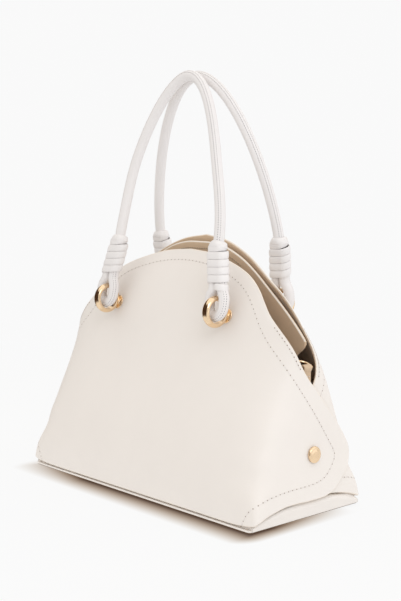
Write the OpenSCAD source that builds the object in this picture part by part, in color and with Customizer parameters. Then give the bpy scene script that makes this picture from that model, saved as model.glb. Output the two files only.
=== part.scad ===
// Top handle bag: two shaped leather panels wrap round a stiff base and lap at the ends.
// Origin at the middle of the base on the floor. X runs along the bag, Y to the back, Z up.

/* [Bag body] */
// Length of the base from end to end
base_width = 320; // [300:1:340]
// Depth of the base from front to back
base_depth = 142; // [134:1:150]
// Height of the front panel's crown
front_height = 231; // [222:1:240]
// Height of the back panel's crown
back_height = 244.5; // [236:0.5:250]
// Thickness of the panel leather
leather_thickness = 2; // [1.8:0.1:2.2]
// Thickness of the lining
lining_thickness = 0.8; // [0.7:0.05:0.9]
// Free space between neighbouring layers
layer_gap = 0.3; // [0.25:0.05:0.4]
// Free space between the two wings where they lap
lap_gap = 0.6; // [0.5:0.05:0.8]
// Film of glue between a panel and its lining
glue_gap = 0.05; // [0.04:0.01:0.06]

/* [Base] */
// Thickness of the base panel
base_thickness = 3; // [2.6:0.1:3.4]
// Groove between the base and a panel's lower edge
seam_groove = 1.5; // [1.2:0.1:1.8]
// Radius of the base's corners
base_corner = 4; // [3:0.5:6]
// Height of the base's turned-up rim along the front and back
rim_height = 10; // [8:0.5:12]
// Height of the turned-up lips at the two ends
lip_height = 17; // [15:0.5:20]
// Thickness of the rim and lips
rim_thickness = 1.6; // [1.4:0.1:1.8]
// Thickness of the stiffening board on the base
board_thickness = 2; // [1.6:0.1:2.4]

/* [Divider] */
// Distance of the divider's corners from the ends of the base
divider_end_room = 17; // [16.5:0.5:22]
// Height of the divider's crown above the floor
divider_height = 238; // [230:1:242]
// Thickness of the divider's board
divider_board_thickness = 1.2; // [1:0.1:1.4]
// Thickness of each face of the divider
divider_face_thickness = 0.7; // [0.6:0.1:0.8]
// Width of the face that turns in past the board all round
divider_margin = 5; // [4:0.5:7]
// Distance of the divider's foot behind the middle
divider_foot_y = 10; // [8:0.5:11]
// Distance of the divider's crown behind the middle
divider_crown_y = 18; // [16:0.5:18.5]

/* [Handles] */
// Height of both handles' tops, at the middle of the tube
handle_top = 396; // [380:1:410]
// Diameter of the rolled leather tube
tube_diameter = 10; // [9.4:0.1:10.2]
// Wall of the leather tube
tube_wall = 1.4; // [1.2:0.1:1.6]
// Free space between the core and the tube
core_gap = 0.3; // [0.3:0.05:0.5]
// Place behind the middle where the two handles lean together
handle_meet_y = 8; // [5:0.5:11]
// Space between the two handles where they lean together
handle_meet_gap = 0.5; // [0.4:0.1:1]
// Sideways shift of the front handle's legs above their wraps
front_splay = -8; // [-10:0.5:0]
// Sideways shift of the back handle's legs above their wraps
back_splay = 4; // [0:0.5:6]
// Sideways lean of the front handle's arch, half way up
front_sway = -4; // [-6:0.5:6]
// Sideways lean of the back handle's arch, half way up
back_sway = 0; // [-6:0.5:6]

/* [Handle rings] */
// Distance between the ring feet of one panel
ring_spread = 158.6; // [150:0.2:166]
// Height of the front ring feet
front_foot_z = 174.5; // [168:0.5:180]
// Height of the back ring feet
back_foot_z = 177; // [171:0.5:183]
// Outer radius of a ring
ring_outer = 14.6; // [14:0.1:15.2]
// Radius of a ring's hole
ring_hole = 10.3; // [10:0.1:10.5]
// Width of a ring's band
ring_band = 7.6; // [7:0.1:7.8]
// Radius of the band's round outer face
band_round = 4.4; // [4.2:0.1:4.8]
// Radius of the foot plate
foot_radius = 7; // [6:0.5:8]
// Thickness of the foot plate
foot_thickness = 1.4; // [1.2:0.1:1.6]
// Radius of the neck between foot plate and band
neck_radius = 3.2; // [2.8:0.1:3.6]
// Radius of the fixing screw's shank
screw_radius = 1.5; // [1.3:0.1:1.6]
// Radius of the fixing screw's head
screw_head_radius = 3.6; // [3.2:0.1:4]
// Height of the fixing screw's head
screw_head_height = 1.4; // [1.2:0.1:1.6]
// Depth of the screw's thread in the foot
screw_reach = 4; // [3.5:0.1:4.5]
// Radius of the washer inside the bag
washer_radius = 6; // [5:0.5:7]
// Thickness of the washer
washer_thickness = 1; // [0.8:0.1:1.2]

/* [Wraps] */
// Number of turns in each wrap
wrap_turns = 5; // [4:1:6]
// Rise of one turn to the next
wrap_pitch = 6.9; // [6.8:0.1:7.1]
// Width of the leather strip
strip_width = 6.2; // [6:0.1:6.3]
// Thickness of the leather strip
strip_thickness = 1.2; // [1.1:0.1:1.4]
// Height of the wrap's lowest edge above the ring's middle
wrap_start = 22.5; // [22:0.5:24]
// Free space between the strip and the tube
strip_gap = 0.3; // [0.25:0.05:0.4]

/* [Side rivets] */
// Height of the rivets above the floor
rivet_height = 57; // [50:1:62]
// Radius of the rivet's cap
rivet_radius = 7.4; // [6.5:0.1:8]
// Thickness of the rivet's cap
rivet_thickness = 3; // [2.6:0.1:3.4]
// Bevel round the cap
rivet_bevel = 1.1; // [0.8:0.1:1.3]
// Radius of the rivet's post
post_radius = 2.2; // [2:0.1:2.4]
// Radius of the rivet's inner head
post_head_radius = 5.5; // [5:0.1:6]
// Thickness of the rivet's inner head
post_head_thickness = 1.2; // [1:0.1:1.4]

/* [Strap rings] */
// Height of the strap rings' bars above the front panel's edge at the ends of the bag
strap_ring_rise = 12.07; // [11:0.01:14]
// Place of the strap rings behind the middle
strap_ring_y = 5.5; // [5:0.5:6]
// Radius of the strap rings' wire
wire_radius = 1.4; // [1.2:0.1:1.5]
// Radius of the strap ring's bend at the middle of the wire
strap_ring_radius = 8.2; // [7.6:0.1:8.4]
// Straight part of the strap ring between bar and bend
strap_ring_leg = 4.5; // [3.5:0.5:5]
// Angle at which the strap ring rests above the level
strap_ring_rest = 20; // [12:1:30]
// Width of the tab that holds a strap ring
tab_width = 11; // [9:0.5:12]
// Thickness of the tab's leather
tab_thickness = 1.5; // [1.3:0.1:1.6]
// Length of the tab below the strap ring's bar
tab_length = 36; // [30:1:40]
// Running clearance round the bar
tab_clearance = 0.3; // [0.2:0.05:0.4]

/* [Hidden] */

$fn = 48;
overrun = 1;
hole_clearance = 0.2;
ivory = "#efe6df";
taupe = "#a58f74";
gold = "#e6be78";
board_grey = "#8c8780";

// Where each panel's faces lie, at heights given as shares of the front panel's height.
// Columns: height, half width of the base, front and back reach as shares of half the base
// depth, the end line of the front and of the back panel likewise, squareness of the plan.
plan_shares = [
    [0.00, 1.038, 1.000, 1.000, 0.00, 0.00, 60.0],
    [0.13, 1.025, 0.972, 0.972, 0.03, 0.03, 15.0],
    [0.26, 1.006, 0.873, 0.901, 0.07, 0.07, 8.5],
    [0.39, 1.000, 0.739, 0.810, 0.09, 0.09, 5.8],
    [0.52, 1.000, 0.599, 0.711, 0.06, 0.06, 4.0],
    [0.65, 1.012, 0.444, 0.620, 0.00, -0.17, 2.9],
    [0.78, 1.019, 0.303, 0.535, -0.01, -0.35, 2.4],
    [0.89, 1.019, 0.148, 0.451, 0.14, -0.58, 2.15],
    [1.00, 1.019, -0.056, 0.394, 0.38, -0.76, 2.1],
    [1.07, 1.019, -0.141, 0.380, 0.52, -0.86, 2.1]
];

// Edge of a panel along its wrap. Columns: turn from the middle of the panel as a share of
// the wing's wrap, top edge of the front and of the back panel as shares of their own heights,
// lift of the lower edge as a share of the front panel's height.
edge_shares = [
    [0.000, 1.000, 1.000, 0.000],
    [0.092, 0.987, 0.978, 0.000],
    [0.183, 0.952, 0.924, 0.000],
    [0.244, 0.920, 0.869, 0.000],
    [0.282, 0.890, 0.832, 0.000],
    [0.313, 0.855, 0.804, 0.002],
    [0.340, 0.814, 0.769, 0.011],
    [0.366, 0.775, 0.724, 0.024],
    [0.405, 0.734, 0.667, 0.039],
    [0.489, 0.660, 0.579, 0.054],
    [0.573, 0.593, 0.513, 0.056],
    [0.641, 0.550, 0.476, 0.054],
    [0.695, 0.519, 0.454, 0.054],
    [0.740, 0.494, 0.434, 0.054],
    [0.802, 0.450, 0.397, 0.058],
    [0.863, 0.403, 0.352, 0.076],
    [0.924, 0.348, 0.299, 0.121],
    [0.969, 0.297, 0.254, 0.167],
    [1.000, 0.250, 0.236, 0.217]
];
wing_wrap = 131;
facing_turn = 1;

// Half outline of the divider, as shares of half its width and of its height
divider_shares = [
    [0, 1], [0.14, 0.997], [0.28, 0.978], [0.42, 0.940], [0.54, 0.892], [0.66, 0.833],
    [0.80, 0.762], [0.90, 0.706], [0.97, 0.662], [1.00, 0.637], [0.985, 0.612],
    [0.94, 0.588], [0.91, 0.560], [0.90, 0.520]
];

// Turns and heights at which a panel's net has its lines
column_shares = [
    0, 0.076, 0.153, 0.214, 0.26, 0.298, 0.328, 0.344, 0.363, 0.389, 0.435,
    0.496, 0.565, 0.634, 0.695, 0.756, 0.817, 0.878, 0.931, 0.973, 1
];
row_shares = [0, 0.1, 0.25, 0.42, 0.58, 0.7, 0.78, 0.86, 0.93, 1];
rim_turns = [0, 20, 35, 42, 45, 48, 55, 72];

// Shape of the handles' arch, and the flare of the strands where they pass a ring
arch_height_power = 1.5;
arch_width_power = 1.9;
arch_steps = 12;
tube_sides = 8;
core_sides = 6;
bend_steps = 8;
bend_clearance = 0.5;
bend_rise = 5;
flare_height = 8.5;
wrap_lead = 1.5;
wrap_taper = 16;
wrap_squareness = 3;
wrap_steps = 24;

panel_stack = leather_thickness + glue_gap + lining_thickness;
lap = panel_stack + lap_gap;
seam_z = base_thickness + seam_groove;
tube_radius = tube_diameter / 2;
bore_radius = tube_radius - tube_wall;
core_radius = bore_radius - core_gap;
strand_offset = tube_radius;
bend_offset = ring_band / 2 + bend_clearance + tube_radius;
wrap_height = wrap_turns * wrap_pitch + strip_width;
wrap_end = wrap_start + wrap_height;
flare_end = wrap_start - wrap_lead;
flare_start = flare_end - flare_height;
floor_z = base_thickness + 3 * glue_gap + board_thickness + lining_thickness;
ring_standoff = layer_gap + foot_thickness / 2 + ring_outer;
band_middle = (ring_outer + ring_hole) / 2;

// Smooth curve through the rows of a table of shares, with its first column as the run
function row_before(table, t, i = 0) =
    (i >= len(table) - 2 || t < table[i + 1][0]) ? i : row_before(table, t, i + 1);
function slope(table, i, k) =
    let (a = max(i - 1, 0), b = min(i + 1, len(table) - 1))
    (table[b][k] - table[a][k]) / (table[b][0] - table[a][0]);
function smooth(table, t, k) =
    let (
        u = min(max(t, table[0][0]), table[len(table) - 1][0]),
        i = row_before(table, u),
        h = table[i + 1][0] - table[i][0],
        s = (u - table[i][0]) / h
    )
    (2 * s * s * s - 3 * s * s + 1) * table[i][k]
    + (s * s * s - 2 * s * s + s) * h * slope(table, i, k)
    + (3 * s * s - 2 * s * s * s) * table[i + 1][k]
    + (s * s * s - s * s) * h * slope(table, i + 1, k);
function ease(t) = let (s = min(max(t, 0), 1)) s * s * (3 - 2 * s);

// A point on the bag's plan curve at a height, turned from the middle of the front or back.
// The insets move it inwards at the ends, on its own side and on the far side.
function skin(turn, z, front, end_in, own_in, far_in) =
    let (
        t = z / front_height,
        power = smooth(plan_shares, t, 6),
        half_w = base_width / 2 * smooth(plan_shares, t, 1) - end_in,
        reach_front = base_depth / 2 * smooth(plan_shares, t, 2),
        reach_back = base_depth / 2 * smooth(plan_shares, t, 3),
        line = base_depth / 2 * smooth(plan_shares, t, front ? 4 : 5),
        own = front ? reach_front + line : reach_back - line,
        far = front ? reach_back - line : reach_front + line,
        depth = cos(turn) >= 0 ? own - own_in : far - far_in,
        grow = pow(pow(abs(sin(turn)), power) + pow(abs(cos(turn)), power), -1 / power),
        side = front ? 1 : -1
    )
    [side * half_w * grow * sin(turn), line - side * depth * grow * cos(turn), z];

// A point of a panel at a depth in from its outer face; the back wing lies under the front one
function panel_point(turn, z, front, inset) =
    skin(turn, z, front, inset + (front ? 0 : lap), inset, inset + (front ? -lap : lap));

// The direction that a panel faces at a point
function panel_facing(turn, z, front) =
    let (
        along = panel_point(turn + facing_turn, z, front, 0)
            - panel_point(turn - facing_turn, z, front, 0),
        up = panel_point(turn, z + overrun, front, 0) - panel_point(turn, z - overrun, front, 0),
        n = cross(along, up)
    )
    n / norm(n);

function panel_top(turn, front) =
    let (s = abs(turn) / wing_wrap)
    front ? front_height * smooth(edge_shares, s, 1) : back_height * smooth(edge_shares, s, 2);
function panel_bottom(turn) =
    seam_z + front_height * smooth(edge_shares, abs(turn) / wing_wrap, 3);

function mirrored(list) = concat([for (i = [len(list) - 1 : -1 : 1]) -list[i]], list);
function panel_net(front, inset) =
    [for (c = mirrored(column_shares))
        let (turn = c * wing_wrap, low = panel_bottom(turn), high = panel_top(turn, front))
        [for (r = row_shares) panel_point(turn, low + (high - low) * r, front, inset)]];

// A sheet between two nets of the same columns and rows; a closed one joins its last column
// to its first
module sheet(outer, inner, closed = false) {
    columns = len(outer);
    rows = len(outer[0]);
    spans = closed ? columns : columns - 1;
    points = concat([for (c = outer) each c], [for (c = inner) each c]);
    function id(side, c, r) = (side * columns + c % columns) * rows + r;
    function left(c) = c < spans / 2;
    function quad(flip, a, b, d, e) = flip ? [[b, d, e], [b, e, a]] : [[a, b, d], [a, d, e]];
    faces = concat(
        [for (c = [0 : spans - 1], r = [0 : rows - 2])
            each quad(left(c), id(0, c, r), id(0, c, r + 1), id(0, c + 1, r + 1), id(0, c + 1, r))],
        [for (c = [0 : spans - 1], r = [0 : rows - 2])
            each quad(!left(c), id(1, c + 1, r), id(1, c + 1, r + 1), id(1, c, r + 1), id(1, c, r))],
        [for (c = [0 : spans - 1])
            each quad(left(c), id(0, c, 0), id(0, c + 1, 0), id(1, c + 1, 0), id(1, c, 0))],
        [for (c = [0 : spans - 1])
            each quad(left(c), id(0, c + 1, rows - 1), id(0, c, rows - 1),
                id(1, c, rows - 1), id(1, c + 1, rows - 1))],
        [if (!closed) for (r = [0 : rows - 2])
            each quad(true, id(0, 0, r + 1), id(0, 0, r), id(1, 0, r), id(1, 0, r + 1))],
        [if (!closed) for (r = [0 : rows - 2])
            each quad(false, id(0, spans, r), id(0, spans, r + 1),
                id(1, spans, r + 1), id(1, spans, r))]
    );
    polyhedron(points, faces, convexity = 10);
}

// Turn at which a panel's outer face reaches a distance from the middle, by halving
function turn_at(x, z, front, low = 0, high = 89, left = 24) =
    let (mid = (low + high) / 2)
    left == 0 ? mid
    : abs(panel_point(mid, z, front, 0).x) < x ? turn_at(x, z, front, mid, high, left - 1)
    : turn_at(x, z, front, low, mid, left - 1);

// Puts children at a place, with their Z axis along a direction
module facing(place, direction) {
    translate(place)
        rotate([0, acos(direction.z), atan2(direction.y, direction.x)])
            children();
}

// Where a ring's foot, a ring's middle and a rivet are
function foot_z(front) = front ? front_foot_z : back_foot_z;
function foot_turn(front, side) =
    (front ? side : -side) * turn_at(ring_spread / 2, foot_z(front), front);
function foot_place(front, side) =
    panel_point(foot_turn(front, side), foot_z(front), front, 0);
function foot_facing(front, side) = panel_facing(foot_turn(front, side), foot_z(front), front);
function ring_place(front, side) =
    foot_place(front, side) + ring_standoff * foot_facing(front, side);
rivet_turn = 91;
function rivet_place(side) = panel_point(side * rivet_turn, rivet_height, true, 0);
function rivet_facing(side) = panel_facing(side * rivet_turn, rivet_height, true);

module screw_hole(front, side) {
    facing(foot_place(front, side), foot_facing(front, side))
        cylinder(r = screw_radius + hole_clearance, h = 2 * (panel_stack + overrun), center = true);
}

module rivet_hole(side) {
    facing(rivet_place(side), rivet_facing(side))
        translate([0, 0, -2 * lap - overrun])
            cylinder(r = post_radius + hole_clearance, h = 2 * (lap + overrun));
}

// One layer of a panel, from one depth to another, with its holes
module layer(front, from, to) {
    difference() {
        sheet(panel_net(front, from), panel_net(front, to));
        for (side = [-1, 1]) {
            screw_hole(front, side);
            rivet_hole(side);
        }
    }
}

module front_panel() {
    color(ivory) layer(true, 0, leather_thickness);
}

module back_panel() {
    color(ivory) layer(false, 0, leather_thickness);
}

module front_lining() {
    color(taupe) layer(true, leather_thickness + glue_gap, panel_stack);
}

module back_lining() {
    color(taupe) layer(false, leather_thickness + glue_gap, panel_stack);
}

module rounded_plate(width, depth, corner, height) {
    linear_extrude(height) {
        square([width, depth - 2 * corner], center = true);
        square([width - 2 * corner, depth], center = true);
        for (x = [-1, 1], y = [-1, 1])
            translate([x * (width / 2 - corner), y * (depth / 2 - corner)])
                circle(corner);
    }
}

// The rim turns up inside the panels; at the ends it stands behind both wings as a lip
function rim_net(inset) =
    [for (quarter = [-2 : 1], turn = rim_turns)
        let (
            angle = quarter * 90 + turn,
            low = base_thickness * 3 / 4,
            rise = rim_height + (lip_height - rim_height) * pow(abs(sin(angle)), 8)
        )
        [for (z = [low, base_thickness + rise / 2, base_thickness + rise])
            skin(angle, z, true, lap + panel_stack + layer_gap + inset,
                panel_stack + lap_gap + inset, panel_stack + lap_gap + inset)]];

module base_panel() {
    color(ivory) {
        rounded_plate(base_width, base_depth, base_corner, base_thickness);
        sheet(rim_net(0), rim_net(rim_thickness), closed = true);
    }
}

// Size of what lies inside the rim
inside_width = 2 * (base_width / 2 * plan_shares[1][1] - lap - panel_stack - rim_thickness
    - 3 * layer_gap);
inside_depth = 2 * (base_depth / 2 * plan_shares[1][2] - panel_stack - rim_thickness
    - 2 * layer_gap);

module base_board() {
    color(board_grey)
        translate([0, 0, base_thickness + glue_gap])
            rounded_plate(inside_width, inside_depth, base_corner, board_thickness);
}

module floor_lining() {
    color(taupe)
        translate([0, 0, base_thickness + 2 * glue_gap + board_thickness])
            rounded_plate(inside_width, inside_depth, base_corner, lining_thickness);
}

// The divider stands on the floor and leans back; its plane is turned about its foot
divider_width = base_width - 2 * divider_end_room;
divider_lean = atan((divider_crown_y - divider_foot_y) / (divider_height - floor_z));
divider_plies = divider_board_thickness + 2 * divider_face_thickness + 2 * glue_gap;
function divider_outline(inset) =
    let (
        half = [for (p = divider_shares)
            [p[0] * (divider_width / 2 - inset), p[1] * (divider_height - floor_z - inset)]],
        foot = [half[len(half) - 1].x, inset + layer_gap]
    )
    concat([for (p = half) p], [foot], [[-foot.x, foot.y]],
        [for (i = [len(half) - 1 : -1 : 1]) [-half[i].x, half[i].y]]);

module divider_ply(depth, thickness, inset) {
    translate([0, divider_foot_y, floor_z])
        rotate([90 - divider_lean, 0, 0])
            translate([0, 0, divider_plies / 2 - depth - thickness])
                linear_extrude(thickness)
                    polygon(divider_outline(inset));
}

module divider_front() {
    color(taupe) divider_ply(0, divider_face_thickness, 0);
}

module divider_board() {
    color(board_grey)
        divider_ply(divider_face_thickness + glue_gap, divider_board_thickness, divider_margin);
}

module divider_back() {
    color(taupe)
        divider_ply(divider_plies - divider_face_thickness, divider_face_thickness, 0);
}

// A ring: a band with a round outer face, joined by a neck to a foot plate on the panel
module handle_ring(front, side) {
    place = ring_place(front, side);
    color(gold)
        difference() {
            union() {
                translate(place)
                    rotate([0, 90, 0])
                        rotate_extrude()
                            intersection() {
                                translate([ring_hole, -ring_band / 2])
                                    square([ring_outer - ring_hole, ring_band]);
                                translate([ring_outer - band_round, 0])
                                    circle(band_round);
                            }
                facing(foot_place(front, side), foot_facing(front, side))
                    translate([0, 0, layer_gap]) {
                        cylinder(r = foot_radius, h = foot_thickness);
                        cylinder(r = neck_radius, h = ring_standoff - layer_gap - band_middle);
                    }
            }
            facing(foot_place(front, side), foot_facing(front, side))
                cylinder(r = screw_radius + glue_gap, h = screw_reach + layer_gap);
        }
}

module front_left_ring() {
    handle_ring(true, -1);
}

module front_right_ring() {
    handle_ring(true, 1);
}

module back_left_ring() {
    handle_ring(false, -1);
}

module back_right_ring() {
    handle_ring(false, 1);
}

module each_foot() {
    for (front = [true, false], side = [-1, 1])
        facing(foot_place(front, side), foot_facing(front, side))
            children();
}

module ring_washers() {
    color(gold)
        each_foot()
            translate([0, 0, -panel_stack - layer_gap - washer_thickness])
                difference() {
                    cylinder(r = washer_radius, h = washer_thickness);
                    translate([0, 0, -overrun])
                        cylinder(r = screw_radius + hole_clearance, h = washer_thickness + 2 * overrun);
                }
}

module ring_screws() {
    head_z = -panel_stack - layer_gap - washer_thickness - glue_gap - screw_head_height;
    color(gold)
        each_foot()
            translate([0, 0, head_z]) {
                cylinder(r = screw_head_radius, h = screw_head_height);
                cylinder(r = screw_radius, h = screw_reach - head_z);
            }
}

// Handles are drawn upright in the plane of X and Z about their pivot, then leaned together
function pivot(front) = [0, ring_place(front, 1).y, ring_place(front, 1).z];
function ring_x(front) = ring_place(front, 1).x;
function meet_y(front) =
    handle_meet_y + (front ? -1 : 1) * (tube_diameter + handle_meet_gap) / 2;
function handle_lean(front) =
    atan((meet_y(front) - pivot(front).y) / (handle_top - pivot(front).z));
function handle_rise(front) =
    norm([meet_y(front) - pivot(front).y, handle_top - pivot(front).z]);
function splay(front) = front ? front_splay : back_splay;

module leaned(front) {
    translate(pivot(front))
        rotate([-handle_lean(front), 0, 0])
            children();
}

// Distance of a strand from the middle of its ring, at a height above the pivot
function strand_off(h) =
    h < flare_end
        ? bend_offset + (strand_offset - bend_offset) * ease((h - flare_start) / flare_height)
        : strand_offset * (1 - ease((h - wrap_end + wrap_taper) / wrap_taper));
function swayed(front, h) =
    let (t = (h - wrap_end) / (handle_rise(front) - wrap_end))
    (front ? front_sway : back_sway) * (t > 0 ? sin(180 * t) * ease(2 * t) : 0);
function leg_x(front, h) =
    ring_x(front) + splay(front) * ease((h - flare_start) / (wrap_end - flare_start));

// The route from the top of the arch down one leg, round the ring and up into the wrap
function leg_route(front) =
    let (
        span = handle_rise(front) - wrap_end,
        wide = leg_x(front, wrap_end),
        lap_end = wrap_end - wrap_taper,
        down = [wrap_end, wrap_end - wrap_taper / 2, lap_end, (wrap_start + lap_end) / 2,
            flare_end, flare_start + flare_height / 2, flare_start],
        back = [for (i = [6 : -1 : 2]) down[i]]
    )
    concat(
        [for (i = [0 : arch_steps - 1])
            let (a = 90 * (1 - pow(i / arch_steps, 1.15)))
            [wide * pow(max(cos(a), 0), 2 / arch_width_power),
                wrap_end + span * pow(sin(a), 2 / arch_height_power)]],
        [for (h = down) [leg_x(front, h) - strand_off(h), h]],
        [for (i = [0 : bend_steps])
            let (a = 180 * i / bend_steps)
            [ring_x(front) - bend_offset * cos(a), bend_rise - bend_offset * sin(a)]],
        [for (h = back) [leg_x(front, h) + strand_off(h), h]]
    );
function handle_route(front) =
    let (leg = leg_route(front))
    concat(
        [for (i = [len(leg) - 1 : -1 : 1]) [swayed(front, leg[i].y) - leg[i].x, leg[i].y]],
        [for (p = leg) [swayed(front, p.y) + p.x, p.y]]
    );

// Rings of a tube round a flat route
function tube_rings(route, radius, sides) =
    [for (i = [0 : len(route) - 1])
        let (
            run = route[min(i + 1, len(route) - 1)] - route[max(i - 1, 0)],
            across = [run.y, -run.x] / norm(run)
        )
        [for (k = [0 : sides - 1])
            let (a = 360 * (k + 0.5) / sides)
            [route[i].x + radius * cos(a) * across.x, radius * sin(a),
                route[i].y + radius * cos(a) * across.y]]];

// A rod through rings of points, with flat ends
module rod(rings) {
    count = len(rings);
    sides = len(rings[0]);
    function id(i, k) = i * sides + k % sides;
    faces = concat(
        [for (i = [0 : count - 2], k = [0 : sides - 1]) each
            [[id(i, k), id(i + 1, k), id(i + 1, k + 1)], [id(i, k), id(i + 1, k + 1), id(i, k + 1)]]],
        [for (k = [1 : sides - 2]) [id(0, 0), id(0, k), id(0, k + 1)]],
        [for (k = [1 : sides - 2]) [id(count - 1, 0), id(count - 1, k + 1), id(count - 1, k)]]
    );
    polyhedron([for (ring = rings) each ring], faces, convexity = 10);
}

module handle_cover(front) {
    route = handle_route(front);
    outer = tube_rings(route, tube_radius, tube_sides);
    inner = tube_rings(route, bore_radius, tube_sides);
    color(ivory)
        leaned(front)
            pipe(outer, inner);
}

// A pipe between two sets of rings
module pipe(outer, inner) {
    count = len(outer);
    sides = len(outer[0]);
    function id(side, i, k) = (side * count + i) * sides + k % sides;
    last = count - 1;
    faces = concat(
        [for (i = [0 : count - 2], k = [0 : sides - 1]) each
            [[id(0, i, k), id(0, i + 1, k), id(0, i + 1, k + 1)],
                [id(0, i, k), id(0, i + 1, k + 1), id(0, i, k + 1)]]],
        [for (i = [0 : count - 2], k = [0 : sides - 1]) each
            [[id(1, i, k), id(1, i + 1, k + 1), id(1, i + 1, k)],
                [id(1, i, k), id(1, i, k + 1), id(1, i + 1, k + 1)]]],
        [for (k = [0 : sides - 1]) each
            [[id(0, 0, k), id(0, 0, k + 1), id(1, 0, k + 1)],
                [id(0, 0, k), id(1, 0, k + 1), id(1, 0, k)]]],
        [for (k = [0 : sides - 1]) each
            [[id(0, last, k), id(1, last, k + 1), id(0, last, k + 1)],
                [id(0, last, k), id(1, last, k), id(1, last, k + 1)]]]
    );
    polyhedron([for (ring = concat(outer, inner)) each ring], faces, convexity = 10);
}

module handle_core(front) {
    color(board_grey)
        leaned(front)
            rod(tube_rings(handle_route(front), core_radius, core_sides));
}

module front_handle_cover() {
    handle_cover(true);
}

module front_handle_core() {
    handle_core(true);
}

module back_handle_cover() {
    handle_cover(false);
}

module back_handle_core() {
    handle_core(false);
}

// Cross-section of the strip: out from the tube, and along the handle
strip_shares = [[-0.5, -0.42], [-0.5, 0.42], [0.1, 0.5], [0.5, 0.26], [0.5, -0.26], [0.1, -0.5]];

// The strip winds round both strands in one unbroken helix, from the side next to the bag
function wrap_rings(front, side) =
    [for (i = [0 : wrap_turns * wrap_steps])
        let (
            a = (front ? 90 : -90) + 360 * i / wrap_steps,
            h = wrap_start + strip_width / 2 + wrap_pitch * i / wrap_steps,
            widest = strand_off(max(h - strip_width, flare_end)),
            spread = widest * max(-1, min(1, wrap_squareness * cos(a))),
            reach = tube_radius + strip_gap + strip_thickness / 2
        )
        [for (p = strip_shares)
            let (off = reach + p[0] * strip_thickness, z = h + p[1] * strip_width)
            [side * leg_x(front, z) + spread + off * cos(a), off * sin(a), z]]];

function least_gap(rings) =
    min([for (i = [0 : len(rings) - 1 - wrap_steps], d = [-1, 0, 1])
        let (j = min(i + wrap_steps + d, len(rings) - 1))
        min([for (p = rings[i], q = rings[j]) norm(p - q)])]);

module wrap(front, side) {
    rings = wrap_rings(front, side);
    echo(least_gap_in_wrap = least_gap(rings));
    color(ivory)
        leaned(front)
            rod(rings);
}

module front_left_wrap() {
    wrap(true, -1);
}

module front_right_wrap() {
    wrap(true, 1);
}

module back_left_wrap() {
    wrap(false, -1);
}

module back_right_wrap() {
    wrap(false, 1);
}

// A rivet: a bevelled cap outside the wings, a post through them and a flat head inside
module rivet_cap(side) {
    color(gold)
        facing(rivet_place(side), rivet_facing(side))
            translate([0, 0, layer_gap])
                difference() {
                    rotate_extrude()
                        polygon([[0, 0], [rivet_radius, 0], [rivet_radius, rivet_thickness - rivet_bevel],
                            [rivet_radius - rivet_bevel, rivet_thickness], [0, rivet_thickness]]);
                    translate([0, 0, -overrun])
                        cylinder(r = post_radius + glue_gap, h = overrun + rivet_thickness / 2);
                }
}

module rivet_post(side) {
    head_z = -2 * lap - layer_gap - post_head_thickness;
    color(gold)
        facing(rivet_place(side), rivet_facing(side))
            translate([0, 0, head_z]) {
                cylinder(r = post_head_radius, h = post_head_thickness);
                cylinder(r = post_radius, h = layer_gap + rivet_thickness / 2 - glue_gap - head_z);
            }
}

module left_rivet_cap() {
    rivet_cap(-1);
}

module right_rivet_cap() {
    rivet_cap(1);
}

module left_rivet_post() {
    rivet_post(-1);
}

module right_rivet_post() {
    rivet_post(1);
}

// A strap ring turns on its bar in the loop of a tab that hangs inside the end of the bag
end_turn = 90;
strap_ring_z = panel_top(end_turn, true) + strap_ring_rise;
tab_inner_x = base_width / 2 * smooth(plan_shares, (strap_ring_z - tab_length) / front_height, 1)
    - lap - panel_stack - layer_gap - 2 * tab_thickness;
bar_x = tab_inner_x + tab_thickness;
loop_radius = wire_radius + tab_clearance + tab_thickness;

module at_bar(side) {
    translate([side * bar_x, strap_ring_y, strap_ring_z])
        rotate([0, 0, side > 0 ? 180 : 0])
            children();
}

module strap_ring(side) {
    color(gold)
        at_bar(side)
            rotate([0, -strap_ring_rest, 0]) {
                for (y = [-1, 1])
                    translate([0, y * strap_ring_radius, 0]) {
                        sphere(wire_radius);
                        rotate([0, 90, 0])
                            cylinder(r = wire_radius, h = strap_ring_leg);
                    }
                translate([0, -strap_ring_radius, 0])
                    rotate([-90, 0, 0])
                        cylinder(r = wire_radius, h = 2 * strap_ring_radius);
                translate([strap_ring_leg, 0, 0])
                    rotate([0, 0, -90])
                        rotate_extrude(angle = 180)
                            translate([strap_ring_radius, 0])
                                circle(wire_radius);
            }
}

module strap_tab(side) {
    color(ivory)
        at_bar(side)
            difference() {
                union() {
                    rotate([90, 0, 0])
                        cylinder(r = loop_radius, h = tab_width, center = true);
                    translate([-tab_thickness, -tab_width / 2, -tab_length])
                        cube([2 * tab_thickness, tab_width, tab_length]);
                }
                rotate([90, 0, 0])
                    cylinder(r = wire_radius + tab_clearance, h = tab_width + 2 * overrun, center = true);
            }
}

module left_strap_ring() {
    strap_ring(-1);
}

module right_strap_ring() {
    strap_ring(1);
}

module left_strap_tab() {
    strap_tab(-1);
}

module right_strap_tab() {
    strap_tab(1);
}

front_panel();
back_panel();
front_lining();
back_lining();
base_panel();
base_board();
floor_lining();
divider_front();
divider_board();
divider_back();
front_left_ring();
front_right_ring();
back_left_ring();
back_right_ring();
ring_screws();
ring_washers();
front_handle_cover();
front_handle_core();
back_handle_cover();
back_handle_core();
front_left_wrap();
front_right_wrap();
back_left_wrap();
back_right_wrap();
left_rivet_cap();
right_rivet_cap();
left_rivet_post();
right_rivet_post();
left_strap_ring();
right_strap_ring();
left_strap_tab();
right_strap_tab();
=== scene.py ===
"""Top handle bag in ivory leather with gilt fittings, over its solid frame. Lengths are in metres."""

import math

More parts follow.
